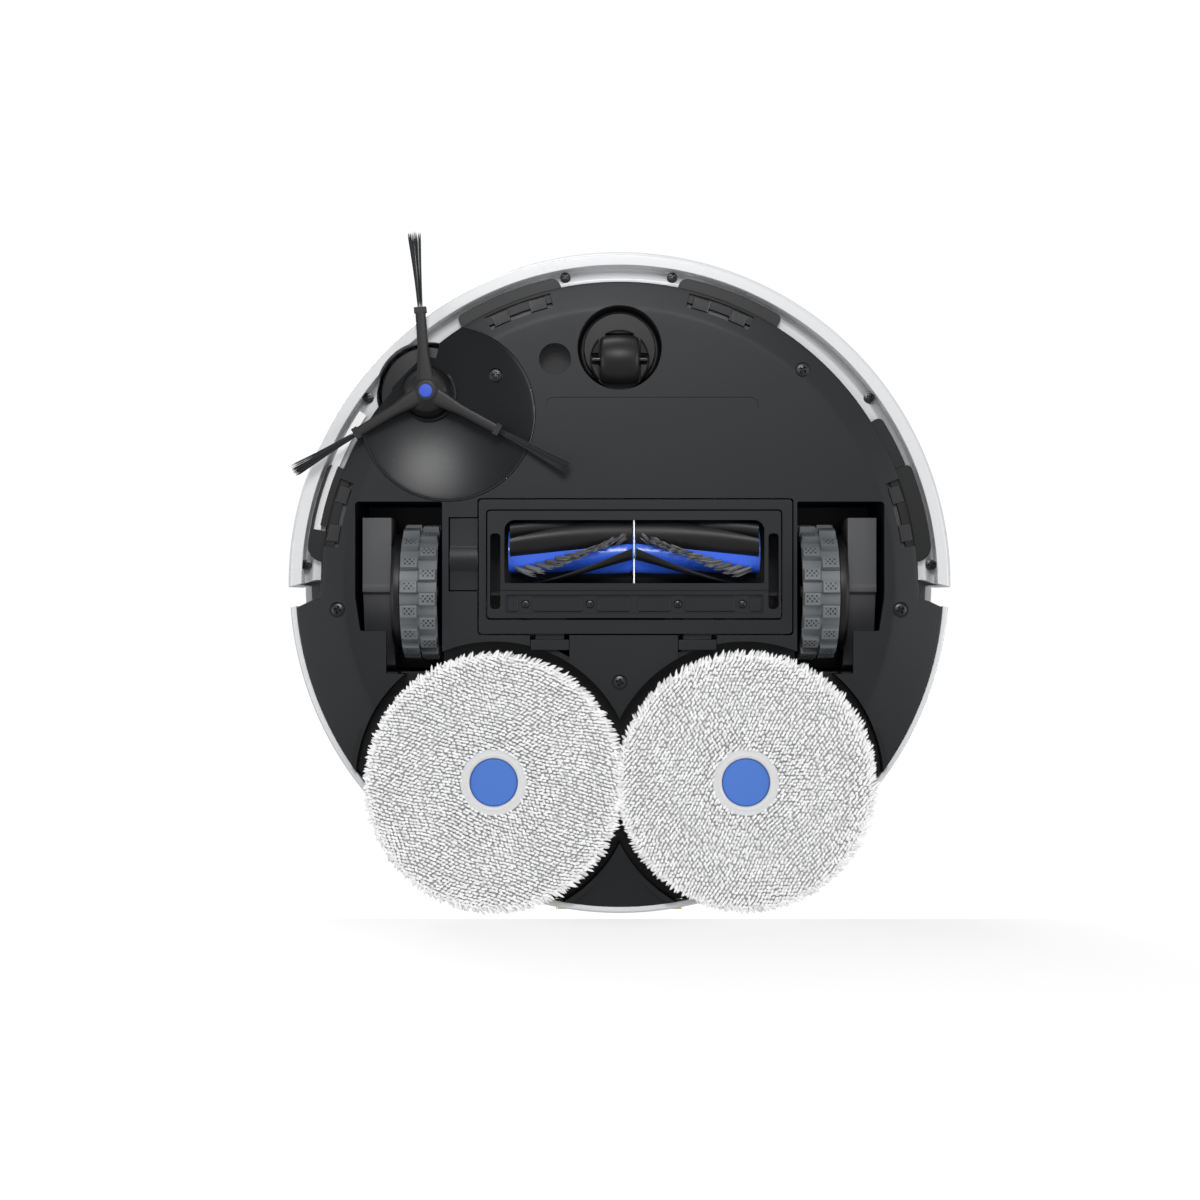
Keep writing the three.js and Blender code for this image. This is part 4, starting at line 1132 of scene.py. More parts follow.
@dataclass
class SideBrushBay:
    """The dished plate round the side brush, and the dark cup that its hub turns in."""

    x: float = -90.5
    y: float = -89.0
    r: float = 46.0
    hub: tuple[float, float] = HUB_AXIS
    hub_plate_r: float = 18.7
    cup_r: float = 24.8
    hole_r: float = 13.9
    edge_z: float = 10.6
    dish: float = 7.4
    wall: float = 2.6
    screw: tuple[float, float] = (-65.4, -109.4)
    front_r: float = FRONT_R

    def face(self, x: np.ndarray, y: np.ndarray) -> np.ndarray:
        """Height of the dish: edge_z plus dish (1 - (d / r)^2) at distance d from its middle."""
        d2 = ((x - self.x) ** 2 + (y - self.y) ** 2) / self.r ** 2
        return self.edge_z + self.dish * np.clip(1 - d2, 0, 1)

    def plate(self) -> bpy.types.Mesh:
        """The dished disc with its flat collar, trimmed to the robot's front edge."""
        share = np.concatenate([np.linspace(0, 0.972, 26), [0.980, 0.988, 0.996, 1.0]])[None, :]
        azimuth = (np.arange(288) * 1.25)[:, None]
        flat = on_circle(share * self.r, azimuth, 0 * share)
        flat[..., 0] += self.x
        flat[..., 1] += self.y
        flat[..., 2] = self.face(flat[..., 0], flat[..., 1]) + np.where(share > 0.974,
                -0.26 * (share - 0.974) / 0.026, 0)
        back = flat[:, ::-1].copy()
        back[..., 2] += self.wall
        disc = closed_mesh("bay_plate", grid(np.concatenate([flat, back], 1), wrap_u=True))
        tools = [drum(*self.hub, self.hole_r, 0, 40, 96), drum(*self.screw, 3.9, 0, 15.6, 40),
                 self.cup_tool()]
        disc = carved("bay_plate", disc, tools)
        return carved("bay_plate", disc, [drum(0, 0, self.front_r, 0, 60, 720)], keep=True)

    def cup_tool(self) -> Surface:
        """What the cup takes off the plate: beyond hub_plate_r outside, then straight along a tangent."""
        hx, hy = self.hub
        near, far = np.radians(np.linspace(182, 284, 40)), np.radians(np.linspace(284, 200, 20))
        arc = [(hx + self.hub_plate_r * math.cos(a), hy + self.hub_plate_r * math.sin(a)) for a in near]
        outer = [(hx + 46 * math.cos(a), hy + 46 * math.sin(a)) for a in far]
        tail = [(arc[0][0] - 0.6 * 34, arc[0][1] + 0.8 * 34)]
        return prism(tail + arc + outer, 0, 40)

    def build(self, shop: Workshop) -> None:
        """Makes the plate, the collar, the cup and the screw."""
        shop.add("bay_plate", self.plate(), DISH_PLASTIC, "chassis", "black_plastic", ("side_brush_bay",),
                 bevel_mm=0.2, sharp=25.0)
        turn = np.radians(np.linspace(-18, 172, 120))
        bead = np.stack([self.x + (self.r - 0.35) * np.cos(turn), self.y + (self.r - 0.35) * np.sin(turn),
                         self.edge_z + 0.1 + 0 * turn], -1)[None]
        shop.add("bay_rim", tubes(bead, 0.42 * np.ones((1, 120)), 10), GLOSS_BLACK, "chassis",
                 "black_plastic")
        hx, hy = self.hub
        collar_z = float(self.face(np.array(hx), np.array(hy)))
        collar = revolved(filleted([(self.hole_r - 0.6, collar_z - 0.7, 0.3), (15.0, collar_z - 0.7, 0.4),
                                    (15.6, collar_z + 0.6, 0),
                                    (15.6, collar_z + 3.5, 0), (self.hole_r - 0.6, collar_z + 3.5, 0)]), 120,
                                    hx, hy)
        shop.add("hub_collar", collar, DISH_PLASTIC, "chassis", "black_plastic")
        cup = revolved(filleted([(0.01, 19.6, 0), (self.cup_r, 19.6, 0.8), (self.cup_r, 30, 0),
                                 (0.01, 30, 0)]), 144, hx, hy)
        shop.add("hub_cup", cup, DARK_PLASTIC, "chassis", "black_plastic")
        x, y = self.screw
        shop.add("bay_screw", Screw(r=3.1).surface(x, y, 13.2, 8), SCREW_STEEL, "chassis", "steel")


@dataclass
class SideBrush:
    """A rubber hub with three arms, each holding a bundle of stiff bristles that spreads to its tip."""

    x: float = HUB_AXIS[0]
    y: float = HUB_AXIS[1]
    r: float = 12.9
    holder: float = 44.0
    reaches: tuple[float, ...] = (84.0, 87.0, 82.5)
    arm_angles: tuple[float, ...] = (-94.0, 28.4, 148.5)
    strands: int = 74

    def hub(self) -> Surface:
        """The domed hub, from (radius, height) points with rounded shoulders."""
        outline = filleted([(0.01, 4.4, 0), (5.0, 4.5, 3), (10.4, 6.6, 5), (self.r, 11.0, 2),
                            (self.r, 15.5, 0.5),
                            (4.0, 15.5, 0), (4.0, 25.6, 0), (0.01, 25.6, 0)], 6)
        return revolved(outline, 120)

    def arm(self) -> Surface:
        """A rubber holder along +X: a soft-edged box whose half width falls from 4.6 to 2.7 mm.

        Each section is a superellipse |y/w|^4 + |z/h|^4 = 1, its top leaning down towards the tip.
        """
        t = np.linspace(0, 1, 24)[:, None]
        a = (np.arange(28) * 2 * np.pi / 28)[None, :]
        x = 5.0 + (self.holder - 5.0) * t
        w = 4.6 - 1.6 * smooth_step(t * 2.2) - 0.3 * t
        h = 1.9 - 0.1 * t
        mid = 6.9 - 0.2 * t
        y = w * np.sign(np.cos(a)) * np.abs(np.cos(a)) ** 0.5
        z = mid + h * np.sign(np.sin(a)) * np.abs(np.sin(a)) ** 0.5
        ring = np.stack(np.broadcast_arrays(x, y, z), -1)
        first, last = ring[:1].copy(), ring[-1:].copy()
        first[..., 1:] = (0, 6.9)
        last[..., 1:] = (0, 6.7)
        return grid(np.concatenate([first, ring, last]), wrap_v=True)

    def clamp(self) -> Surface:
        """The squared end of the holder, a little wider than its arm."""
        return prism([(self.holder - 3.2, -3.3), (self.holder, -3.2), (self.holder, 3.2),
                      (self.holder - 3.2, 3.3)], 4.9, 8.6)

    def bundle(self, rng: np.random.Generator, reach: float) -> Surface:
        """Bristles that leave the holder together and fan out.

        A strand's sideways place grows with t^1.5 along it, and its height falls towards the floor.
        """
        n = self.strands
        t = np.linspace(0, 1, 9)[None, :]
        spread = rng.uniform(-1, 1, (n, 1))
        clump = np.round(spread * 3.5) / 3.5
        spread = 0.55 * spread + 0.45 * clump
        lift = rng.uniform(-1, 1, (n, 1))
        length = reach - self.holder - rng.uniform(0, 1.8, (n, 1)) - 0.6 * np.abs(spread)
        x = self.holder - 1.0 + (length + 0.6) * t
        y = spread * (1.3 + 2.2 * t ** 1.5) + 0.25 * rng.standard_normal((n, 1)) * t ** 2
        z = 6.6 + lift * 0.9 - (4.0 + 0.2 * lift) * t ** 1.6
        radius = 0.17 * np.ones_like(t) + 0 * y
        paths = np.stack(np.broadcast_arrays(x, y, z), -1)
        return tubes(paths, radius, 4, rng.uniform(0, 1, n))

    def build(self, shop: Workshop) -> None:
        """Makes the hub, the blue cap and the three bundles."""
        arms = [Surface(s.points, s.faces).turned(angle) for angle in self.arm_angles for s in (self.arm(),
                self.clamp())]
        shop.add("brush_star", joined([self.hub()] + arms).moved(self.x, self.y), BLACK_RUBBER, "side_brush",
                 "black_rubber", ("side_brush_hub",), bevel_mm=0.25)
        cap = revolved(filleted([(0.01, 3.9, 0), (3.5, 3.9, 0.5), (3.7, 5.4, 0), (0.01, 5.4, 0)]), 48)
        shop.add("brush_cap", cap.moved(self.x, self.y), CAP_BLUE, "side_brush", "blue_plastic",
                 ("side_brush_cap",))
        rng = np.random.default_rng(11)
        for i, (angle, reach) in enumerate(zip(self.arm_angles, self.reaches), 1):
            bundle = self.bundle(rng, reach).turned(angle).moved(self.x, self.y)
            shop.add(f"bristles_{i}", bundle, NYLON, "side_brush", "nylon_bristle",
                     (f"side_brush_bristles_{i}",),
                     tidy=False)


# ---- Caster ---------------------------------------------------------------------


@dataclass
class Caster:
    """The swivelling front wheel: a dark cup, a domed fork, a barrel wheel and its bright axle."""

    swivel_y: float = SWIVEL_Y
    cup_r: float = 22.3
    wheel_y: float = -117.7
    wheel_z: float = 13.0
    wheel_r: float = 13.0
    half_width: float = 10.3
    dome_r: float = 15.6
    axle_half: float = 14.6
    axle_r: float = 1.6

    def fork(self) -> bpy.types.Mesh:
        """A turntable under a dome round the axle, with a slot for the wheel and a pocket at each end."""
        table = revolved(filleted([(0.01, 17.6, 0), (19.0, 17.8, 0.5), (19.0, 21.0, 0.5), (5, 21.4, 0),
                                   (5, 34, 0),
                                   (0.01, 34, 0)], 8), 144, 0, self.swivel_y)
        dome = revolved(filleted([(0.01, 8.4, 0), (8, 8.8, 8), (self.dome_r - 1.2, 11.0, 2),
                                  (self.dome_r, 12.4, 0.8),
                                  (self.dome_r, 18.6, 0.3), (0.01, 18.6, 0)], 8), 144, 0, self.wheel_y)
        body = united("caster_dome", [closed_mesh("table", table), closed_mesh("dome", dome)])
        half = self.half_width + 0.8
        slot = filleted([(-half, self.wheel_y - 13.6, 3.0), (half, self.wheel_y - 13.6, 3.0),
                         (half, self.wheel_y + 17, 0.5),
                         (-half, self.wheel_y + 17, 0.5)])
        pockets = [box(side.value * 12.4 - 2.6, side.value * 12.4 + 2.6, self.wheel_y - 3.2,
                       self.wheel_y + 3.2, 0, 15.2)
                   for side in Side]
        return carved("caster_dome", body, [prism(slot, 0, 17.0)] + pockets)

    def wheel(self) -> Surface:
        """A barrel: its radius falls by crown (x / half width)^2 from the middle, with rounded shoulders."""
        across = np.linspace(-1, 1, 25)
        shoulder = np.sqrt(np.clip(1 - np.clip((np.abs(across) - 0.80) / 0.2, 0, 1) ** 2, 0, 1))
        radius = self.wheel_r - 1.4 * across ** 2 - 1.4 * (1 - shoulder)
        outline = [(r, x * self.half_width) for r, x in zip(radius, across)]
        outline += [(5.0, self.half_width), (4.6, self.half_width - 0.8), (1.7, self.half_width - 0.8),
                    (1.7, 0.8 - self.half_width), (4.6, 0.8 - self.half_width), (5.0, -self.half_width)]
        return revolved(outline, 96).laid_along_x().moved(0, self.wheel_y, self.wheel_z)

    def build(self, shop: Workshop) -> None:
        """Makes the fork, the wheel, the axle and the cup."""
        cup = revolved(filleted([(self.cup_r + 1.6, 13.4, 0), (self.cup_r - 0.35, 13.4, 0.4),
                                 (self.cup_r - 1.2, 21.6, 1.5),
                                 (4.6, 22.2, 0), (4.6, 24.0, 0), (self.cup_r + 1.6, 24.0, 0)]), 144, 0,
                                 self.swivel_y)
        shop.add("caster_cup", cup, DARK_PLASTIC, "chassis", "black_plastic")
        shop.add("caster_turntable", self.fork(), DARK_PLASTIC, "caster_fork", "black_plastic",
                 ("caster_fork",),
                 bevel_mm=0.35)
        shop.add("caster_barrel", self.wheel(), BLACK_RUBBER, "caster_wheel", "black_rubber",
                 ("caster_wheel",))
        r = self.axle_r
        pin = revolved(filleted([(0.01, -self.axle_half, 0), (r, -self.axle_half, 0.4),
                                 (r, self.axle_half, 0.4),
                                 (0.01, self.axle_half, 0)]), 40)
        shop.add("caster_pin", pin.laid_along_x().moved(0, self.wheel_y, self.wheel_z), SCREW_STEEL,
                 "caster_fork", "steel",
                 ("caster_axle",))


# ---- Drive wheels ---------------------------------------------------------------


@dataclass
class DriveWheel:
    """A rim and a rubber tyre with two rows of saw-tooth lugs, half a pitch apart."""

    x0: float = 95.8
    x1: float = 115.2
    y: float = 5.0
    z: float = 36.5
    r: float = 36.5
    bore: float = 29.8
    lugs: int = 17
    lug_depth: float = 3.6
    samples: int = 30

    def lug(self, phase: np.ndarray) -> np.ndarray:
        """Height from 0 to 1 over one pitch: a steep front, a flat top that leans, and a slope back down."""
        p = phase % 1.0
        return smooth_step(p / 0.04) * (1 - smooth_step((p - 0.50) / 0.06)) * (0.86 + 0.28 * p)

    def tyre(self) -> Surface:
        """Radius over (angle, across): the carcass plus a lug in each row, drawn in at its sides."""
        across = np.array([0, 0.004, 0.03, 0.08, 0.14, 0.20, 0.26, 0.32, 0.38, 0.44, 0.475, 0.492, 0.508,
                           0.525, 0.56, 0.62,
                           0.68, 0.74, 0.80, 0.86, 0.92, 0.97, 0.996, 1.0])[None, :]
        angle = (np.arange(self.lugs * self.samples) / (self.lugs * self.samples))[:, None]
        outer_row = across > 0.5
        phase = angle * self.lugs + 0.5 * outer_row
        in_row = np.where(outer_row, across - 0.5, across) * 2
        flank = smooth_step(in_row / 0.04) * smooth_step((1 - in_row) / 0.08)
        radius = self.r - self.lug_depth + self.lug_depth * self.lug(phase) * flank
        radius = np.where((across == 0) | (across == 1), self.bore, radius)
        radius = np.minimum(radius, self.r)
        # Where the sunk dots sit; the rubber finish darkens them there as painted shade.
        dotted = ((phase % 1.0 > 0.08) & (phase % 1.0 < 0.42) & (np.abs(in_row - 0.5) < 0.34)).astype(float)
        uv = np.stack(np.broadcast_arrays(phase, in_row), -1)
        x = self.x0 + (self.x1 - self.x0) * across
        turn = 2 * np.pi * angle
        points = np.stack(np.broadcast_arrays(x, radius * np.sin(turn), -radius * np.cos(turn)), -1)
        return grid(points, wrap_u=True, wrap_v=True, uv=uv, tone=dotted).moved(0, self.y, self.z)

    def rim(self) -> Surface:
        """The dark wheel body, with a stepped outer band that shows beside the tyre."""
        x0, x1 = self.x0 + 0.3, self.x1 + 5.0
        outline = filleted([(6, x0 + 4, 0), (24, x0 + 4, 1), (26.5, x0, 0.8), (self.bore - 0.15, x0, 0),
                            (self.bore - 0.15, self.x1 + 0.3, 0),
                            (31.4, self.x1 + 0.3, 0.3), (31.4, x1 - 1.6, 0.5), (30.2, x1, 0.5),
                            (26, x1, 0.5), (24, x1 - 3, 0.5),
                            (6, x1 - 3, 0)])
        return revolved(outline, 144).laid_along_x().moved(0, self.y, self.z)

    def build(self, shop: Workshop, side: Side) -> None:
        """Makes one wheel and its housing."""
        name = side.word
        shop.add(f"{name}_lugged_tyre", self.tyre().on_side(side), GREY_RUBBER, f"{name}_wheel",
                 "grey_rubber",
                 (f"{name}_tyre",), sharp=28.0)
        shop.add(f"{name}_wheel_body", self.rim().on_side(side), DARK_PLASTIC, f"{name}_wheel",
                 "black_plastic",
                 (f"{name}_rim",))
        shop.softened(f"{name}_drive_unit", GREY_PLASTIC, f"{name}_suspension", "grey_plastic", 0.8)
        shop.softened(f"{name}_wheel_housing", DARK_PLASTIC, "chassis", "black_plastic", 0.4)


# ---- Main brush -----------------------------------------------------------------


@dataclass
class MainBrush:
    """The floor brush: blue core, black blades and tufts, its frame cover, guard wire and latches."""

    y: float = -16.5
    z: float = 23.0
    core: float = 11.5
    tip: float = 18.5
    gap_x: float = 7.5
    left_end: float = 73.0
    right_end: float = -57.6
    core_ends: tuple[float, float] = (-59.0, 74.4)
    cover: tuple[float, float, float, float] = (-74.0, 90.6, -43.8, 26.7)
    frame: tuple[float, float, float, float] = (-69.4, 84.6, -37.8, 18.4)
    window: tuple[float, float, float, float] = (-60.5, 75.9, -33.0, 0.2)
    cover_z: tuple[float, float] = (10.2, 12.4)
    frame_z: float = 8.8
    bar_z: float = 7.9
    bar_y: float = 3.6
    screw_y: float = 11.2
    screws: tuple[float, ...] = (-49.4, -15.6, 30.6, 64.5)
    twist: float = 60.0
    tuft_angles: tuple[float, float] = (-22.0, 50.0)
    blade_turns: tuple[tuple[float, float, float, float], ...] = (
        (-21.0, 15.0, 54.0, 35.0), (24.0, 108.0, 27.0, 27.0), (-80.0, -26.0, 24.0, 24.0))

    def wrap(self, x: np.ndarray, angle: np.ndarray, radius: np.ndarray) -> np.ndarray:
        """Points round the roller's axis; angle 0 points at the floor and 90 at the back of the robot."""
        a = np.radians(angle)
        return np.stack(np.broadcast_arrays(x, self.y + radius * np.sin(a), self.z - radius * np.cos(a)), -1)

    def core_surface(self) -> Surface:
        """The core: radius core + 0.35 cos(6 (angle - twist share)), where share grows away from the gap."""
        x = np.concatenate([[self.core_ends[0]], np.linspace(self.core_ends[0] + 0.4,
                                                             self.core_ends[1] - 0.4, 70),
                            [self.core_ends[1]]])[:, None]
        angle = (np.arange(120) * 3.0)[None, :]
        share = np.abs(x - self.gap_x) / (self.left_end - self.gap_x)
        radius = self.core + 0.35 * np.cos(np.radians(6 * (angle - self.twist * share)))
        radius = radius * (1 - 0.25 * smooth_step((1.2 - np.abs(x - self.gap_x)) / 1.2))
        radius[0] *= 0.5
        radius[-1] *= 0.5
        return with_ends(grid(self.wrap(x, angle, radius), wrap_v=True), angle.shape[1])

    def blade(self, end: float, root: tuple[float, float], sweep: tuple[float, float]) -> Surface:
        """A wide soft blade from the gap to one end, its root angle going from root[0] to root[1].

        With u from 0 at the root to 1 at the tip, the angle falls by u times the sweep there and the radius
        rises as core + (tip - core) sin(90 u); the tip is rounded and the wall thins from 1.5 to 0.9 mm.
        """
        near = self.gap_x + math.copysign(0.9, end - self.gap_x)
        share = np.linspace(0, 1, 48)[:, None]
        x = near + (end - near) * share
        u = np.linspace(0, 1, 14)[None, :]
        mid = self.core - 1.2 + (self.tip + 1.0 - self.core) * np.sin(0.5 * np.pi * u)
        half = 0.75 - 0.3 * u
        angle = root[0] + (root[1] - root[0]) * share - (sweep[0] + (sweep[1] - sweep[0]) * share) * u
        outer = self.wrap(x, angle, mid + half)
        inner = self.wrap(x, angle, mid - half)
        tip = self.wrap(x, angle[:, -1:] - 2.0, mid[:, -1:] + 0 * share)
        section = np.concatenate([outer, tip, inner[:, ::-1]], 1)
        return with_ends(grid(section, wrap_v=True), section.shape[1])

    def tufts(self, end: float, turn: float, rng: np.random.Generator, count: int = 11,
              strands: int = 16) -> Surface:
        """A row of thick tufts from beside the gap to one end, each leaning back towards the gap at its tip.

        Root angle goes from tuft_angles[0] to tuft_angles[1] along the row, the lean from 5 to 11 mm.
        """
        away = math.copysign(1.0, end - self.gap_x)
        share = np.repeat(np.linspace(0, 1, count), strands)[:, None]
        n = len(share)
        t = np.linspace(0, 1, 6)[None, :]
        fan = rng.uniform(-1, 1, (n, 1))
        side = rng.uniform(-1, 1, (n, 1))
        radius = 10.6 + (self.tip - 10.8 - rng.uniform(0, 0.9, (n, 1))) * t ** 0.9
        lean = (5.0 + 6.0 * share) * t
        x = self.gap_x + away * (9.3 + 53.5 * share - lean + fan * (1.0 + 0.5 * t) + 0.2)
        first, last = self.tuft_angles
        angle = turn + first + (last - first) * share + np.degrees(side * (1.3 + 0.5 * t) / radius) - 6.0 * t
        paths = self.wrap(x, angle, radius)
        return tubes(paths, 0.40 * np.ones((n, 6)), 5, rng.uniform(0, 1, n))

    def cover_mesh(self) -> bpy.types.Mesh:
        """The frame: a flat plate, a raised inner frame and the bar behind the window, all cut open."""
        x0, x1, y0, y1 = self.cover
        low, high = self.cover_z
        plate = closed_mesh("cover", slab(x0, x1, y0, y1, 1.8, low, high))
        u0, u1, v0, v1 = self.frame
        channel = slab(u0 - 0.8, u1 + 0.8, v0 - 0.8, v1 + 1.1, 2.0, 0, high + 1)
        plate = carved("cover", plate, [channel])
        frame_block = slab(u0, u1, v0, v1, 1.6, self.frame_z, high + 1.4)
        bar = prism(rounded_rectangle(self.window[0] - 4, self.window[1] + 4, self.window[3],
                                      self.window[3] + self.bar_y, (1.2,) * 4),
                    self.bar_z, high)
        whole = united("cover", [plate, closed_mesh("frame", frame_block), closed_mesh("bar", bar)])
        w0, w1, h0, h1 = self.window
        tools = [prism(rounded_rectangle(w0, w1, h0, h1, (1.5, 1.5, 5.4, 5.4)), 0, 30)]
        tools += [slab(a, b, -26, 13.7, 2, 0, 30) for a, b in ((-68.0, -62.6), (78.0, 83.4))]
        tools.append(slab(-60.0, 75.4, 6.2, 16.2, 1.2, 0, 10.1))
        tools += [drum(x, self.screw_y, 2.3, 0, 11.6, 32) for x in self.screws]
        return carved("cover_frame", whole, tools)

    def strip(self) -> Surface:
        """The raised pads between the small screws in the strip behind the window."""
        edges = [(-58.5, -53.4), (-45.4, -19.6), (-11.6, 5.2), (9.8, 26.6), (34.6, 60.5), (68.5, 74.0)]
        return joined([slab(a, b, 7.4, 15.0, 0.8, 9.3, 10.4) for a, b in edges])

    def wire(self) -> Surface:
        """The bright guard wire across the window, bent in at both ends."""
        t = np.linspace(0, 1, 24)[None, :]
        y = -35.6 + 41.4 * t
        z = 9.3 + 2.2 * (smooth_step((0.06 - t) / 0.06) + smooth_step((t - 0.94) / 0.06))
        path = np.stack(np.broadcast_arrays(np.array([[self.gap_x]]), y, z), -1)
        return tubes(path, 0.5 * np.ones((1, 24)), 12)

    def build(self, shop: Workshop) -> None:
        """Makes the roller, the cover and what it carries."""
        shop.add("roller_core", self.core_surface(), BLUE_CORE, "main_roller", "blue_plastic",
                 ("brush_core",))
        rng = np.random.default_rng(7)
        for end, name in ((self.left_end, "left"), (self.right_end, "right")):
            blades = joined([self.blade(end, (a + turn, b + turn), (c, d))
                             for a, b, c, d in self.blade_turns for turn in (0.0, 180.0)])
            shop.add(f"blades_{name}", blades, BLACK_RUBBER, "main_roller", "black_rubber",
                     (f"brush_blades_{name}",))
            tufts = joined([self.tufts(end, turn, rng) for turn in (0.0, 180.0)])
            shop.add(f"tufts_{name}", tufts, GREY_TUFT, "main_roller", "nylon_bristle", tidy=False)
        shop.add("cover_frame", self.cover_mesh(), BLACK_PLASTIC, "brush_cover", "black_plastic",
                 ("brush_cover",),
                 bevel_mm=0.3)
        shop.add("cover_pads", self.strip(), DARK_PLASTIC, "brush_cover", "black_plastic", bevel_mm=0.3)
        head = Screw(r=1.7, height=1.0, crown=0.3, cross_depth=0.6, rings=10, steps=40)
        heads = [head.surface(x, self.screw_y, 9.9, 15 * i) for i, x in enumerate(self.screws)]
        shop.add("cover_screws", joined(heads), SCREW_STEEL, "brush_cover", "steel")
        shop.add("guard_rod", self.wire(), STEEL, "brush_cover", "steel", ("guard_wire",))
        shop.softened("left_cover_latch", BLACK_PLASTIC, "left_latch", "black_plastic")
        shop.softened("right_cover_latch", BLACK_PLASTIC, "right_latch", "black_plastic")
        shop.softened("brush_gearbox", BLACK_PLASTIC, "chassis", "grey_plastic", 0.4)
        shop.softened("brush_housing", DARK_PLASTIC, "chassis", "black_plastic", 0.4)


# ---- Mops -----------------------------------------------------------------------


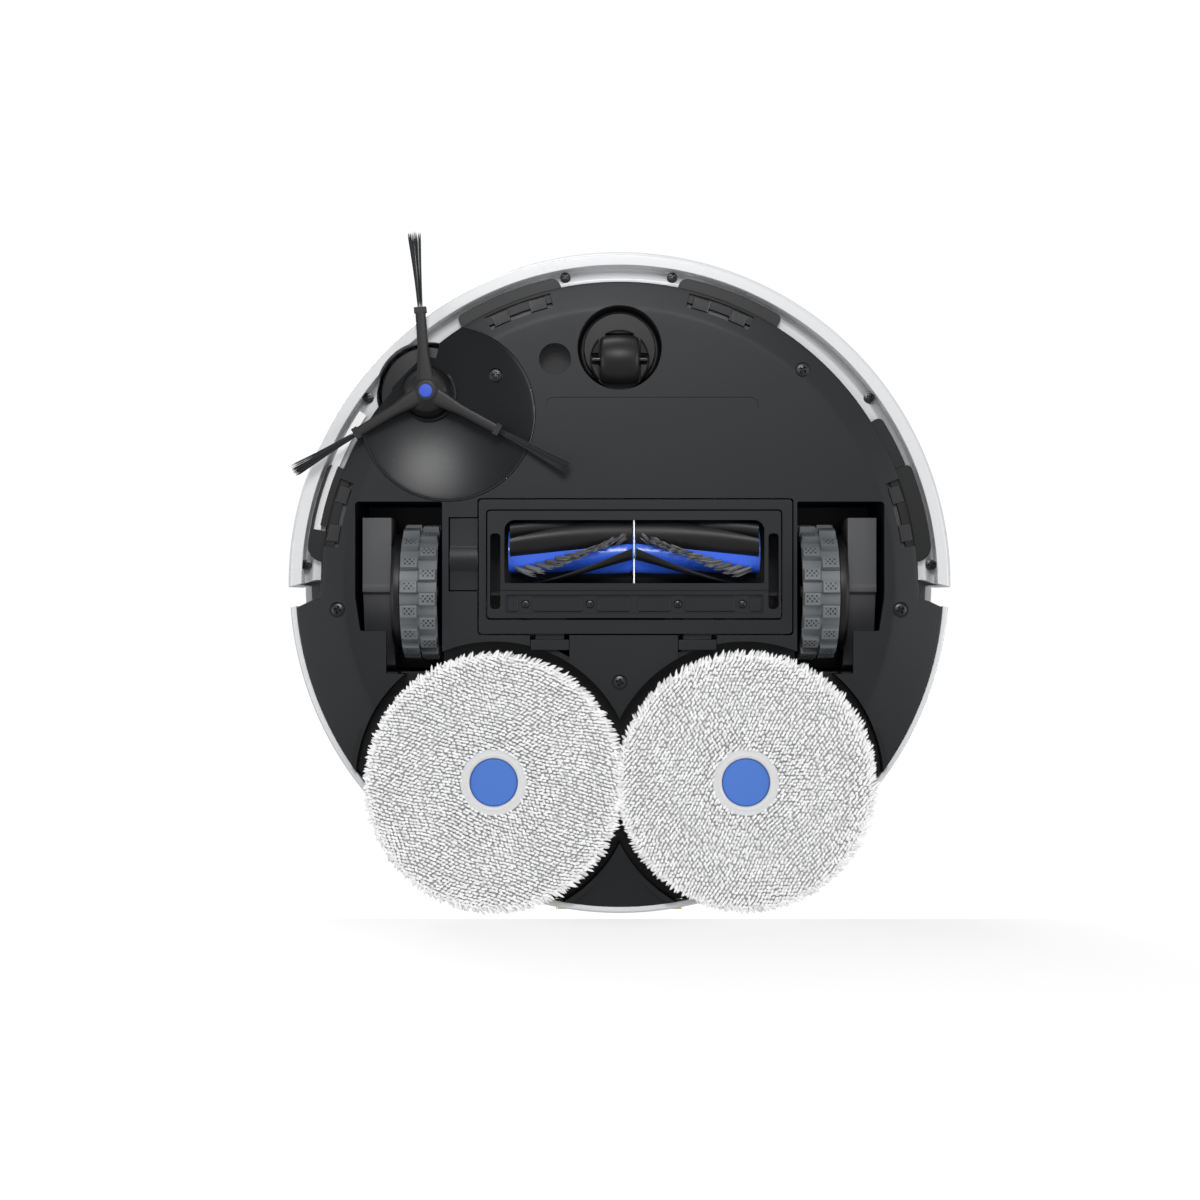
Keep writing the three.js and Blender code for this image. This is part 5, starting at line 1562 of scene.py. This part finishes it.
@dataclass
class Mop:
    """A spinning pad of looped yarn on a white disc with a blue hub."""

    x: float = MOP_AXIS[0]
    y: float = MOP_AXIS[1]
    r: float = 67.0
    inner: float = 16.2
    ring: tuple[float, float] = (12.6, 16.6)
    loop_z: float = 2.4
    grain_length: float = 2.3
    grain_width: float = 1.5
    pitch: float = 1.78
    fringe: int = 560

    def backing(self) -> Surface:
        """The pad's cushion: a flat ring with a full round rim, pulled in over the disc."""
        outline = filleted([(self.inner, 3.4, 1.0), (40, 2.6, 60), (self.r - 3.0, 2.9, 3.0),
                            (self.r, 5.4, 2.0), (self.r - 2.4, 7.0, 0.8),
                            (self.inner, 7.0, 0)], 6)
        return revolved(outline, 180)

    def grains(self, rng: np.random.Generator) -> Surface:
        """Loops of yarn laid in slanting rows over the face, each a little spindle that lies along its row.

        Rows are a pitch apart; grains sit along them at their own length, every other row shifted by half.
        """
        step_u, step_v = self.grain_length * 0.86, self.pitch
        n_u, n_v = int(2 * self.r / step_u) + 2, int(2 * self.r / step_v) + 2
        iu, iv = np.meshgrid(np.arange(n_u), np.arange(n_v), indexing="ij")
        u = (iu + 0.5 * (iv % 2) - n_u / 2) * step_u + rng.normal(0, 0.28, iu.shape)
        v = (iv - n_v / 2) * step_v + rng.normal(0, 0.16, iu.shape)
        v = v + 1.5 * np.sin(u / 17.0) + 1.1 * np.sin(u / 7.3 + v / 23.0)
        tilt = math.radians(-58)
        px = (u * math.cos(tilt) - v * math.sin(tilt)).ravel()
        py = (u * math.sin(tilt) + v * math.cos(tilt)).ravel()
        r = np.hypot(px, py)
        keep = (r < self.r - 0.4) & (r > self.inner + 1.0)
        px, py, r = px[keep], py[keep], r[keep]
        n = len(px)
        seam = np.abs((r - 30.0) % 16.0 - 8.0)
        sunk = 0.55 * smooth_step((1.3 - seam) / 1.3)
        heading = tilt + 0.2 * np.sin(px / 13.0) + 0.2 * np.cos(py / 11.0) + rng.normal(0, 0.2, n)
        length = self.grain_length * rng.uniform(0.75, 1.2, n) * (1 + 0.5 * smooth_step((r - self.r + 8) / 8))
        width = self.grain_width * rng.uniform(0.85, 1.12, n)
        t = np.linspace(-0.5, 0.5, 5)[None, :]
        out = smooth_step((r - self.r + 5) / 5)
        base = self.loop_z - 0.75 + sunk + 0.3 * rng.uniform(-1, 1, n) + 1.6 * out
        x = px[:, None] + (length * np.cos(heading))[:, None] * t
        y = py[:, None] + (length * np.sin(heading))[:, None] * t
        z = base[:, None] + 1.5 * t * t * 4 * 0.55 + (rng.uniform(-0.5, 0.5, n)[:, None]) * t
        radius = 0.5 * width[:, None] * np.sqrt(np.clip(1.06 - 4 * t * t, 0, 1))
        # Grains in the sunk seams take a darker tone: painted shade in the seams, on top of their real depth.
        tone = np.clip(0.88 - 0.4 * sunk + rng.normal(0, 0.12, n), 0, 1)
        return tubes(np.stack([x, y, z], -1), radius, 6, tone)

    def fringe_loops(self, rng: np.random.Generator) -> Surface:
        """Longer loops round the rim that point outwards and droop over its edge."""
        n = self.fringe
        a = (np.arange(n) + rng.uniform(-0.4, 0.4, n)) * 2 * np.pi / n
        row = np.arange(n) % 3
        start = self.r - 3.4 - 0.8 * row + rng.normal(0, 0.3, n)
        aim = 0.55 * np.cos(a + math.radians(58))
        swing = -0.7 * np.sin(a + math.radians(58)) + rng.normal(0, 0.2, n)
        length = (rng.uniform(4.2, 6.0, n) + 0.5 * row) * (1 + 0.2 * aim)
        length = np.minimum(length, 70.8 - start)
        t = np.linspace(0, 1, 6)[None, :]
        r = start[:, None] + length[:, None] * t
        angle = a[:, None] + swing[:, None] * length[:, None] * t / self.r
        z = (2.2 + 0.9 * row)[:, None] + (0.4 + 1.5 * t * t) + rng.uniform(-0.35, 0.35, n)[:, None]
        radius = 0.66 * (1 - 0.15 * t) * np.sqrt(np.clip(1.05 - (2 * t - 1) ** 4, 0, 1)) + 0 * r
        points = np.stack([r * np.cos(angle), r * np.sin(angle), z], -1)
        return tubes(points, radius, 6, np.clip(rng.normal(0.82, 0.15, n), 0, 1))

    def build(self, shop: Workshop, side: Side) -> None:
        """Makes one pad, its hub ring, its disc and its blue cap."""
        name = side.word
        rng = np.random.default_rng(21 if side is Side.LEFT else 22)
        x = self.x * side.value
        spin = 0.0 if side is Side.LEFT else 74.0
        backing = self.backing()
        # The cushion takes the darkest tone of the yarn: painted shade in the gaps between the grains.
        backing.tone = np.full(len(backing.points), 0.0)
        pad = joined([backing, self.grains(rng), self.fringe_loops(rng)]).turned(spin).moved(x, self.y)
        pad = shop.add(f"{name}_pad", pad, MICROFIBRE, f"{name}_mop", "microfibre", (f"{name}_mop_pad",),
                       tidy=False)
        r0, r1 = self.ring
        ring = revolved(filleted([(r0, 2.6, 0.9), (r0 + 1.6, 1.7, 1.5), (r1 - 0.9, 2.2, 1.0),
                                  (r1 + 0.2, 4.2, 1.2), (r1, 7.2, 0),
                                  (r0, 7.2, 0)]), 120).moved(x, self.y)
        shop.add(f"{name}_hub_ring", ring, SATIN_WHITE, f"{name}_mop", "white_plastic")
        shop.softened(f"{name}_mop_disc", WHITE_PLASTIC, f"{name}_mop", "white_plastic", 0.5)
        cap = revolved(filleted([(0.01, 3.4, 0), (12.0, 3.2, 0.6), (12.7, 4.2, 0.4), (12.7, 7.2, 0),
                                 (0.01, 7.2, 0)]), 96)
        shop.add(f"{name}_hub_button", cap.moved(x, self.y), BLUE_PLASTIC, f"{name}_mop", "blue_plastic",
                 (f"{name}_mop_hub_cap",))


# ---- Shells ---------------------------------------------------------------------


@dataclass
class Bumper:
    """The white front bumper: a smooth wall, a flat lip, a groove and a flange with its screws."""

    r: float = 175.5
    bottom: float = 15.0
    top: float = SEAM_Z
    flange_r: float = 158.2
    flange_z: float = 19.6
    end_line: tuple[float, float, float] = (161.0, -1.7, 0.269)
    brush_gap_r: float = 27.4
    window_half: float = 13.0
    window_z: tuple[float, float] = (34.0, 58.0)
    screws: tuple[tuple[float, float], ...] = (
        (-28.7, -162.0), (27.9, -162.0), (-133.2, -98.1), (132.4, -98.1), (-166.0, -9.7), (165.2, -9.6))

    def end_azimuth(self, r: np.ndarray) -> np.ndarray:
        """Azimuth of the bumper's end at radius r, where y = y0 + slope (x - x0) beyond x0."""
        x0, y0, slope = self.end_line
        y = y0 + slope * np.clip(r - x0, 0, None)
        return 90 + np.degrees(np.arcsin(y / r))

    def shell(self) -> bpy.types.Mesh:
        """The whole bumper, carried round from one end to the other."""
        outline = filleted([(self.flange_r, self.flange_z, 0.4), (162.4, self.flange_z, 3.0),
                            (166.4, 25.5, 3.0), (167.7, 25.5, 0.2),
                            (167.9, self.bottom, 0.35), (173.6, self.bottom, 1.6), (self.r, 19.0, 6.0),
                            (self.r, 70.0, 8.0), (173.4, self.top, 1.0),
                            (171.4, self.top, 0.3), (171.4, 27.0, 1.0), (self.flange_r, 27.0, 0)])
        ends = self.end_azimuth(np.array([p[0] for p in outline]))
        shell = closed_mesh("bumper_shell", arc_swept(outline, -ends, ends, 560))
        z0, z1 = self.window_z
        tools = [sector(168, 185, -self.window_half, self.window_half, z0, z1, 32)]
        tools.append(drum(*HUB_AXIS, self.brush_gap_r, 0, 40, 120))
        tools += [drum(x, y, 3.0, 17, self.flange_z + 2.4, 32) for x, y in self.screws]
        return carved("bumper_shell", shell, tools)

    def build(self, shop: Workshop) -> None:
        """Makes the shell, its dark window and its screws."""
        shop.add("bumper_shell", self.shell(), WHITE_PLASTIC, "bumper", "white_plastic", ("bumper",),
                 bevel_mm=0.2, sharp=30.0)
        z0, z1 = self.window_z
        half = self.window_half - 0.15
        pane = filleted([(172.0, z0 + 0.25, 0), (self.r - 0.15, z0 + 0.25, 0.3),
                         (self.r - 0.15, z1 - 0.25, 0.3), (172.0, z1 - 0.25, 0)])
        span = np.full(len(pane), half)
        shop.add("sensor_window", arc_swept(pane, -span, span, 48), GLOSS_BLACK, "bumper", "gloss_black",
                 ("front_window",))
        # A near-white insert under the side slot in the tabs: painted light that stands for the bright gap
        # seen through the slot and lifts the shade in the recess.
        channel = sector(160.6, 164.9, -80.4, -56.5, 17.6, self.flange_z + 0.6, 48)
        shop.add("side_channel", channel, SLOT_PAINTED_LIGHT, "bumper", "white_plastic")
        head = Screw(r=2.75, height=2.2, crown=0.4, cross_depth=0.9)
        heads = [head.surface(x, y, self.flange_z + 0.1, 17 * i) for i, (x, y) in enumerate(self.screws)]
        shop.add("bumper_screws", joined(heads), SCREW_STEEL, "bumper", "steel")


@dataclass
class Shells:
    """The white rear wall and top."""

    r: float = 175.0
    seam: float = SEAM_Z
    top: float = 82.0
    rear_line: tuple[float, float, float] = (161.0, 10.1, 0.2)
    lidar_y: float = TURRET_Y
    lidar_hole: float = 33.4
    lid: tuple[float, float, float, float] = (-74.0, 74.0, -134.0, -56.0)
    lid_corner: float = 22.0
    button_y: float = -28.0
    vent_rows: tuple[float, ...] = (34.0, 40.0, 46.0, 52.0)

    def rear(self) -> bpy.types.Mesh:
        """The rear wall from end to end, with its vents and the cut-outs for the mops and the contacts."""
        outline = filleted([(171.4, 17.6, 0.4), (174.0, 17.4, 1.2), (self.r, 20.0, 2),
                            (self.r, self.seam, 0.3), (172.2, self.seam, 0),
                            (172.2, 21.5, 0), (171.4, 20.6, 0)])
        x0, y0, slope = self.rear_line
        radii = np.array([p[0] for p in outline])
        start = 90 + np.degrees(np.arcsin((y0 + slope * np.clip(radii - x0, 0, None)) / radii))
        shell = closed_mesh("rear_wall", arc_swept(outline, start, 360 - start, 520))
        tools = [sector(165, 185, a, a + 16, z, z + 2.4, 24) for z in self.vent_rows for a in (112, 232)]
        tools += [slab(x - 6.5, x + 6.5, 160, 190, 0.1, 29.6, 48.4) for x in (-CONTACT_X, CONTACT_X)]
        return carved("rear_wall", shell, tools)

    def cap(self) -> bpy.types.Mesh:
        """The top: nearly flat, rolled over at its edge, with holes for lid, turret and button."""
        outline = filleted([(0.01, self.top, 0), (150, self.top, 60), (168.5, self.top - 1.2, 14),
                            (self.r, self.top - 4.4, 3.0),
                            (self.r, self.seam + 0.55, 0.3), (171.5, self.seam + 0.55, 0), (167, 79.0, 0),
                            (0.01, 79.4, 0)], 8)
        shell = closed_mesh("top_cap", revolved(outline, 480))
        x0, x1, y0, y1 = self.lid
        tools = [drum(0, self.lidar_y, self.lidar_hole, 60, 90, 144), drum(0, self.button_y, 7.5, 60, 90, 64),
                 slab(x0, x1, y0, y1, self.lid_corner, 60, 90, 16)]
        return carved("top_cap", shell, tools)

    def build(self, shop: Workshop) -> None:
        """Makes the rear wall, the top, the lid, the button and the charging contacts."""
        shop.add("rear_wall", self.rear(), WHITE_PLASTIC, "chassis", "white_plastic", ("rear_shell",),
                 bevel_mm=0.2, sharp=30.0)
        shop.add("top_cap", self.cap(), WHITE_PLASTIC, "chassis", "white_plastic", ("top_shell",),
                 bevel_mm=0.3, sharp=30.0)
        self.lid_piece(shop)
        button = revolved(filleted([(0.01, 77, 0), (7.0, 77, 0), (7.0, 82.4, 0.6), (5.2, 82.1, 2.0),
                                    (0.01, 81.9, 0)]), 64, 0, self.button_y)
        shop.add("start_button", button, WHITE_PLASTIC, "power_button", "white_plastic", ("power_button",))
        for side in Side:
            x = CONTACT_X * side.value
            body = slab(x - 6, x + 6, 0, 18, 1.5, 171.6, 174.5)
            plate = Surface(body.points[:, [0, 2, 1]] + np.array([0, 0, 30.0]),
                            [f[:, ::-1] for f in body.faces])
            shop.add(f"{side.word}_contact_plate", plate, CONTACT_METAL, "chassis", "contact_metal",
                     (f"{side.word}_charge_contact",), bevel_mm=0.4)

    def lid_piece(self, shop: Workshop) -> None:
        """The lid over the dust bin, with a finger dimple near its front edge."""
        x0, x1, y0, y1 = self.lid
        outline = rounded_rectangle(x0 + 0.5, x1 - 0.5, y0 + 0.5, y1 - 0.5, (self.lid_corner - 0.5,) * 4, 16)
        lid = closed_mesh("bin_lid", prism(outline, 79.6, 82.0))
        a = np.radians(np.linspace(0, 90, 12))
        bowl = list(zip(5 + 7 * np.sin(a[1:]), 82.0 - 1.2 * np.cos(a[1:]) ** 1.2))
        dimple = revolved([(0.01, 95), (0.01, 80.8)] + bowl + [(12.4, 95)], 72, 0, y0 + 14)
        lid = carved("bin_lid", lid, [dimple])
        shop.add("bin_lid", lid, WHITE_PLASTIC, "top_lid", "white_plastic", ("top_lid",), bevel_mm=0.4,
                 sharp=30.0)


@dataclass
class Turret:
    """The laser turret: a dark spinning head under a white cap on three posts."""

    y: float = TURRET_Y
    hole: float = 33.0
    r: float = 38.5
    foot: float = 82.3
    under_cap: float = 93.4
    top: float = 98.0
    posts: tuple[float, ...] = (60.0, 180.0, 300.0)

    def build(self, shop: Workshop) -> None:
        """Makes the cap, its posts and the head."""
        ring = revolved(filleted([(self.hole, self.foot, 0), (self.r + 2, self.foot, 0.3),
                                  (self.r + 0.6, self.foot + 2, 0.8), (self.hole, self.foot + 2, 0.3)]), 144)
        cap = revolved(filleted([(0.01, self.under_cap, 0), (self.r - 3, self.under_cap, 0.5),
                                 (self.r - 0.8, 94.4, 1.0), (self.r - 3, self.top - 0.9, 3.0),
                                 (self.r - 9, self.top, 6.0), (0.01, self.top, 0)], 8), 144)
        posts = [sector(self.hole, self.r - 2, a - 7, a + 7, self.foot + 0.5, 94.0, 12) for a in self.posts]
        meshes = [closed_mesh("turret_cap", part) for part in [ring, cap] + posts]
        whole = united("turret_cap", meshes)
        whole.transform(Matrix.Translation((0, self.y, 0)))
        shop.add("turret_cap", whole, WHITE_PLASTIC, "chassis", "white_plastic", ("lidar_cover",),
                 bevel_mm=0.35, sharp=30.0)
        head = revolved(filleted([(0.01, 79.2, 0), (28, 79.2, 0.8), (28, 92.4, 0.8), (0.01, 92.4, 0)]), 128)
        head = carved("turret_head", closed_mesh("turret_head", head), [box(-9, 9, -30, -22, 84, 90)])
        head.transform(Matrix.Translation((0, self.y, 0)))
        shop.add("turret_head", head, GLOSS_BLACK, "lidar_rotor", "gloss_black", ("lidar_rotor",),
                 bevel_mm=0.3)
        shop.softened("lidar_base", DARK_PLASTIC, "chassis", "black_plastic")


def main() -> None:
    """Builds the set and every piece in order, centred on the top shell's box."""
    logging.basicConfig(level=logging.INFO, format="%(name)s %(message)s")
    Studio().build()
    dress_cad_nodes()
    low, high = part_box("top_shell")
    shop = Workshop(body_y=500 * (low.y + high.y))
    BaseMoulding().build(shop)
    SideBrushBay().build(shop)
    SideBrush().build(shop)
    Caster().build(shop)
    for side in Side:
        DriveWheel().build(shop, side)
        Mop().build(shop, side)
    MainBrush().build(shop)
    Bumper().build(shop)
    Shells().build(shop)
    Turret().build(shop)


if __name__ == "__main__":
    main()
